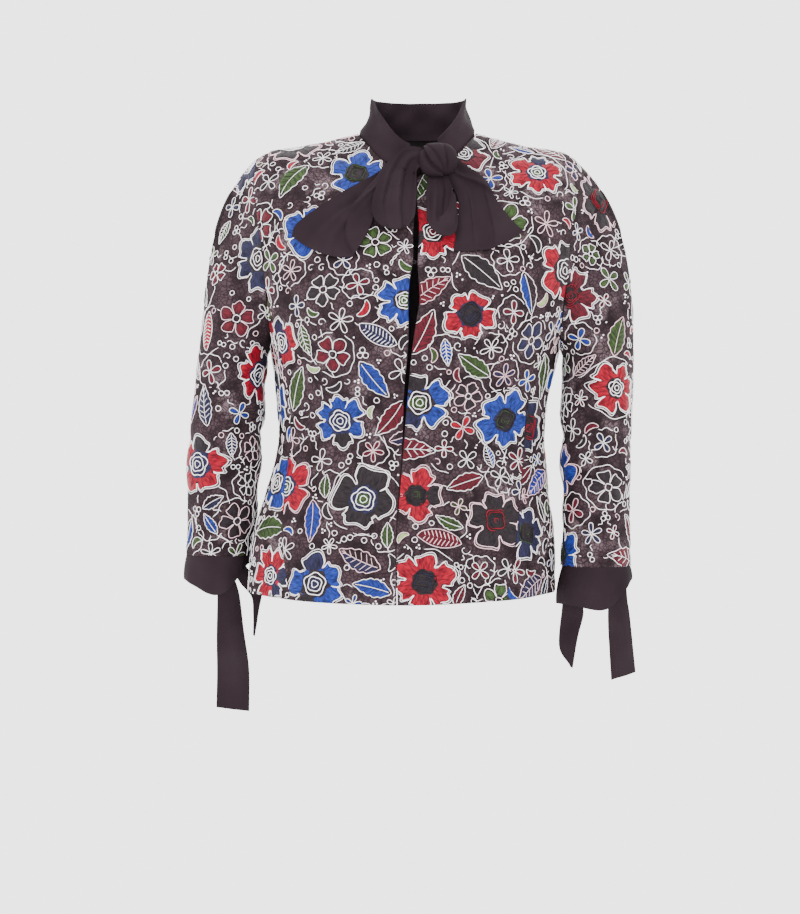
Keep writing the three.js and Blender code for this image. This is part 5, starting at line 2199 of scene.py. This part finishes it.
@dataclass
class Bow:
    """The bow: two loops, two tails and the knot."""

    form: WornBody
    loop_right: tuple[Station, ...] = (
        Station(14, -8, 15, 11, -26, 18, 0.6, 0),
        Station(-14, -6, 16, 2, -33, 20, 1, 0),
        Station(-33, -24, 16, 1.5, -46, 20, 1.2, 0),
        Station(-43, -48, 15, 1.5, -60, 19, 1.4, 0),
        Station(-49, -73, 14, 0.5, -74, 18, 1.4, 0),
        Station(-45, -90, 14, -1.5, -88, 16, 1.4, 3),
        Station(-32, -100, 12, -9, -97, 13, 0.8, 2),
        Station(-36, -88, 8.5, -4.5, -84, 9, 0.5, 2),
        Station(-38, -70, 8, -3.5, -68, 9, 0.5, 0),
        Station(-33, -49, 8, -3.5, -49, 9, 0.5, 0),
        Station(-19, -31, 8, -2.5, -33, 9, 0.5, 0),
        Station(8, -22, 9, 9, -29, 10, 0.3, 0),
    )
    loop_left: tuple[Station, ...] = (
        Station(14, -34, 14, 34, -34, 15, 0.4, 0),
        Station(12, -58, 8, 41, -54, 10, 0.8, 0),
        Station(12, -76, 8, 39, -72, 9, 0.8, 0),
        Station(13, -91, 9, 36, -84, 10, 0.6, 0),
        Station(20, -103, 14, 27, -88, 16, 0.3, 0),
        Station(31, -109, 15, 30, -86, 21, 0.3, 0),
        Station(43, -106, 14, 36, -77, 21, 0.6, 0),
        Station(47, -91, 12, 39, -65, 17, 0.6, 0),
        Station(46, -70, 11, 40, -50, 14, 0.4, 0),
    )
    tail_right: tuple[Station, ...] = (
        Station(14, -14, 6, 12, -31, 5.5, 0.4, 0),
        Station(-17, -13, 5.6, -8, -51, 4.6, 1, 0),
        Station(-31, -19, 6, -29, -67, 5, 1, 0),
        Station(-47, -35, 5.5, -44, -78, 5.5, 1.1, 0),
        Station(-90, -62, 5.5, -49, -95, 6, 1.1, 0),
        Station(-131, -92, 5.5, -58, -114, 5.5, 1.1, 6),
        Station(-138, -107, 5.5, -69, -131, 5, 1.1, 9),
    )
    tail_left: tuple[Station, ...] = (
        Station(36, -10, 15, 32, -33, 14, 0.5, 0),
        Station(57, -26, 9, 41, -50, 6, 1, 0),
        Station(78, -43, 5, 47, -64, 4, 1.2, 0),
        Station(88, -63, 4, 48, -79, 3.5, 1.2, 0),
        Station(105, -88, 3, 45, -104, 3, 1.2, 4),
        Station(120, -103, 2.4, 42, -125, 2.4, 1.2, 9),
    )
    loop_right_folds: tuple[StripFold, ...] = (
        StripFold(0.3, 0.16, 0, 0.56, 0.17, 4.2, 0.4),
        StripFold(0.5, 0.8, 0.04, 0.58, 0.085, -6.5, 0.5),
        StripFold(0.85, 0.85, 0, 0.5, 0.12, 2.2, 1),
        StripFold(0.12, 0.4, 0.02, 0.5, 0.045, -1.8, 0.8),
    )
    loop_left_folds: tuple[StripFold, ...] = (
        StripFold(0.35, 0.35, 0, 0.45, 0.16, -2.6, 0.6),
        StripFold(0.7, 0.8, 0, 0.4, 0.08, 1.8, 0.5),
    )
    tail_right_folds: tuple[StripFold, ...] = (
        StripFold(-0.7, 1, 0.1, 1.4, 0.15, 4.2, 0.22),
        StripFold(0.55, 0.2, 0.4, 1.3, 0.09, 2.0, 0.6),
        StripFold(0.2, 0.62, 0.0, 1.2, 0.05, -1.6, 0.8),
    )
    tail_left_folds: tuple[StripFold, ...] = (
        StripFold(0.75, -0.55, 0, 0.8, 0.14, 3.6, 0.25),
        StripFold(-0.1, 0.4, 0.3, 1.5, 0.11, 3.0, 0.3),
        StripFold(0.6, 0.68, 0.3, 1.5, 0.1, 2.6, 0.35),
        StripFold(0.2, 0.24, 0.5, 1.5, 0.06, -1.2, 0.8),
    )

    def strips(self) -> list[SilkStrip]:
        """The four strips, each with its cut.

        Returns:
            The strips.
        """
        on = ("bow_knot", "front_right", "front_left")
        return [
            SilkStrip(
                "bow_loop_right", self.loop_right, (46, 240), 7400, Hold.FOLDED, on, self.form,
                pleats=1.5, crumple=0.3, columns=40, rows=120, folds=self.loop_right_folds,
            ),
            SilkStrip(
                "bow_loop_left", self.loop_left, (28, 150), 2800, Hold.FOLDED, on, self.form,
                pleats=1.5, crumple=0.2, columns=28, rows=90, folds=self.loop_left_folds,
            ),
            SilkStrip(
                "bow_tail_right", self.tail_right, (86, 175), 9200, Hold.DRAPED, on, self.form,
                pleats=1.5, crumple=0.3, columns=48, rows=84, folds=self.tail_right_folds,
            ),
            SilkStrip(
                "bow_tail_left", self.tail_left, (88, 130), 6700, Hold.DRAPED, on, self.form,
                pleats=1.5, crumple=0.3, columns=48, rows=76, folds=self.tail_left_folds,
            ),
        ]


@dataclass
class WristTies:
    """The four tie ends that hang from the cuffs."""

    right_long: tuple[Station, ...] = (
        Station(-225, -497, -28, -207, -490, -19, 0.3, 0),
        Station(-225, -520, -25, -201, -511, -14, 1, 0),
        Station(-226, -560, -22, -196, -553, -12, 1.6, 0),
        Station(-226, -600, -20, -190, -596, -12, 1.2, 0),
        Station(-227, -639, -18, -190, -644, -12, 0.8, 0),
    )
    right_short: tuple[Station, ...] = (
        Station(-214, -484, 57.2, -203, -474, 50.2, 0.2, 0),
        Station(-205, -501, 60, -190, -492, 58, 0.4, 0),
        Station(-192, -517, 62, -180, -508, 62, 0.6, 0),
        Station(-190, -537, 63, -183, -532, 63, 0.4, 0),
        Station(-190, -562, 64, -188, -564, 64, 0, 0),
    )
    left_short: tuple[Station, ...] = (
        Station(168.4, -505, -41.4, 183.6, -509, -62, 0.3, 0),
        Station(166, -527, -37, 189, -528, -56, 1, 0),
        Station(163, -568, -38, 183, -556, -52, 1, 0),
        Station(176, -590, -42, 178, -592, -43, 0, 0),
    )
    left_long: tuple[Station, ...] = (
        Station(221, -506, -62.2, 238, -491, -48.2, 0.3, 0),
        Station(218, -524, -58, 240, -513, -44, 1, 0),
        Station(219, -556, -52, 244, -538, -40, 1.6, 0),
        Station(222, -605, -48, 250, -597, -38, 1, 0),
    )

    def strips(self) -> list[SilkStrip]:
        """The four ties, each with its cut.

        Returns:
            The strips.
        """
        right, left = ("cuff_right",), ("cuff_left",)
        return [
            SilkStrip(
                "tie_right_long", self.right_long, (38, 152), 5000, Hold.HUNG, right,
                crumple=0.25, columns=16, rows=60,
            ),
            SilkStrip(
                "tie_right_short", self.right_short, (17, 92), 1120, Hold.HUNG, right,
                crumple=0.15, columns=12, rows=40,
            ),
            SilkStrip(
                "tie_left_short", self.left_short, (29, 88), 2100, Hold.HUNG, left,
                crumple=0.2, columns=14, rows=44,
            ),
            SilkStrip(
                "tie_left_long", self.left_long, (31, 108), 3200, Hold.HUNG, left,
                crumple=0.25, columns=16, rows=50,
            ),
        ]


@dataclass(frozen=True)
class Lamp:
    """A square soft light: its place in metres, its power in watts and its side in metres."""

    name: str
    place: tuple[float, float, float]
    power: float
    side: float


@dataclass
class Studio:
    """The pale floor, the soft lights and the camera."""

    distance: float = 2800
    middle_x: float = -17.25
    middle_z: float = -353
    mm_per_pixel: float = 1.15
    sensor: float = 36
    floor_z: float = -1.32
    floor_radius: float = 1.9
    floor_points: int = 96
    paper: Colour = (0.92, 0.92, 0.93, 1)
    sky: float = 3.3
    aim: tuple[float, float, float] = (0, 0, -0.3)
    lamps: tuple[Lamp, ...] = (
        Lamp("Key", (-1.6, -2.4, 1.5), 40, 1.4),
        Lamp("Fill", (1.9, -2.4, 0.6), 10, 2.2),
        Lamp("Top", (0.0, 0.3, 2.2), 22, 2.0),
        Lamp("Behind", (0.6, 2.6, 1.2), 22, 2.0),
    )

    def build(self) -> None:
        """Builds the floor, the lights and the camera."""
        self.build_set()
        for lamp in self.lamps:
            self.light(lamp)
        world = bpy.data.worlds.new("Studio")
        bpy.context.scene.world = world
        world.use_nodes = True
        world.node_tree.nodes["Background"].inputs["Color"].default_value = (1, 1, 1, 1)
        world.node_tree.nodes["Background"].inputs["Strength"].default_value = self.sky
        camera = bpy.data.cameras.new("Camera")
        camera.sensor_width = self.sensor
        camera.lens = self.sensor * self.distance / (IMAGE_HEIGHT * self.mm_per_pixel)
        camera.clip_end = 50
        placed = bpy.data.objects.new("Camera", camera)
        placed.location = (self.middle_x * MM, -self.distance * MM, self.middle_z * MM)
        placed.rotation_euler = (90 * DEG, 0, 0)
        bpy.context.scene.collection.objects.link(placed)
        bpy.context.scene.camera = placed

    def build_set(self) -> None:
        """A round pale floor."""
        turn = np.linspace(0, 2 * math.pi, self.floor_points, endpoint=False)
        rim = np.stack([np.cos(turn), np.sin(turn)], -1) * self.floor_radius
        mesh = bpy.data.meshes.new("PaleFloor")
        mesh.from_pydata([(float(x), float(y), self.floor_z) for x, y in rim], [], [list(range(len(rim)))])
        paper = bpy.data.materials.new("PalePaper")
        paper.use_nodes = True
        shader = paper.node_tree.nodes["Principled BSDF"]
        shader.inputs["Base Color"].default_value = self.paper
        shader.inputs["Roughness"].default_value = 0.9
        mesh.materials.append(paper)
        floor = bpy.data.objects.new("PaleFloor", mesh)
        bpy.context.scene.collection.objects.link(floor)

    def light(self, lamp: Lamp) -> None:
        """Hangs a lamp and aims it at the jacket.

        Args:
            lamp: the lamp.
        """
        data = bpy.data.lights.new(lamp.name, "AREA")
        data.energy = lamp.power
        data.size = lamp.side
        thing = bpy.data.objects.new(lamp.name, data)
        thing.location = lamp.place
        thing.rotation_euler = (Vector(self.aim) - Vector(lamp.place)).to_track_quat("-Z", "Y").to_euler()
        bpy.context.scene.collection.objects.link(thing)


RIGHT_RINGS = (
    Ring(-240, -209.5, 2, 40, 55),
    Ring(-285, -213.5, 1, 41, 51),
    Ring(-325, -217, 1, 41.5, 48),
    Ring(-365, -220.5, 3, 42, 46),
    Ring(-407, -222, 7, 40, 45),
    Ring(-440, -224, 11, 38.5, 44),
    Ring(-466, -227, 14, 37, 43),
)
LEFT_RINGS = (
    Ring(-240, 210.5, 2, 40.5, 55),
    Ring(-285, 209, -2, 41, 51),
    Ring(-325, 208, -6, 40, 48),
    Ring(-365, 207.5, -10, 39, 46),
    Ring(-407, 207.5, -15, 38, 45),
    Ring(-440, 207, -19, 38, 44),
    Ring(-477, 206.5, -23, 39, 43),
)
RIGHT_SLEEVE_FOLDS = (
    SleeveFold(-262, 40, 46, 6, 2.2, 0.18),
    SleeveFold(-284, 70, 40, 5, 1.8, -0.12),
    SleeveFold(-318, 20, 50, 6, 2.0, 0.14),
    SleeveFold(-352, 60, 44, 6, 1.8, -0.16),
    SleeveFold(-398, 110, 46, 7, 1.6, 0.12),
    SleeveFold(-330, 200, 50, 6, 1.8, 0.1),
)
LEFT_SLEEVE_FOLDS = (
    SleeveFold(-266, 45, 46, 6, 2.2, -0.16),
    SleeveFold(-296, 80, 42, 5, 1.8, 0.14),
    SleeveFold(-330, 30, 50, 6, 2.0, -0.1),
    SleeveFold(-372, 70, 44, 6, 1.8, 0.16),
    SleeveFold(-414, 120, 46, 7, 1.6, -0.12),
    SleeveFold(-340, 210, 50, 6, 1.8, -0.1),
)


@dataclass
class Jacket:
    """The whole jacket."""

    finishes: Finishes
    first_seed: int = 700

    def build(self) -> None:
        """Builds every piece in the order that a maker would sew them."""
        form = WornBody()
        net, lining, silk = self.finishes.net, self.finishes.lining, self.finishes.silk
        sleeves = (
            Sleeve(
                form, Side.RIGHT, RIGHT_RINGS, lean=0.13, cuff_inner=8, cuff_front=44, cuff_outer=27, cuff_back=12,
                inner_flare=1, outer_flare=3, cuff_area=6300, folds=RIGHT_SLEEVE_FOLDS,
            ),
            Sleeve(
                form, Side.LEFT, LEFT_RINGS, lean=-0.02, cuff_inner=42, cuff_front=48, cuff_outer=14, cuff_back=34,
                inner_flare=6.5, outer_flare=2, cuff_area=8600, folds=LEFT_SLEEVE_FOLDS,
            ),
        )
        pieces = BodyPanels(form).pieces()
        for sleeve in sleeves:
            pieces += sleeve.pieces()
        pieces.append(NeckBand(form).piece())
        pieces += [s.piece() for s in Bow(form).strips() + WristTies().strips()]
        for number, piece in enumerate(pieces):
            is_net = piece.slot == "net"
            shell = piece.build(net if is_net else silk, lining if is_net else silk)
            embroidery = Embroidery(piece.name, piece.surface, self.first_seed + number)
            piece.declare(shell, embroidery.build(self.finishes.threads) if is_net else [])
        BowKnot().build(silk)
        for name in ("hook", "eye"):
            fastening = frame["nodes"][name]
            fastening.data.materials.clear()
            fastening.data.materials.append(self.finishes.wire)
            log.info("%s: black wire", name)


def main() -> None:
    """Builds the studio and the jacket."""
    logging.basicConfig(level=logging.INFO, format="%(message)s")
    Studio().build()
    Jacket(Finishes()).build()


if __name__ == "__main__":
    main()
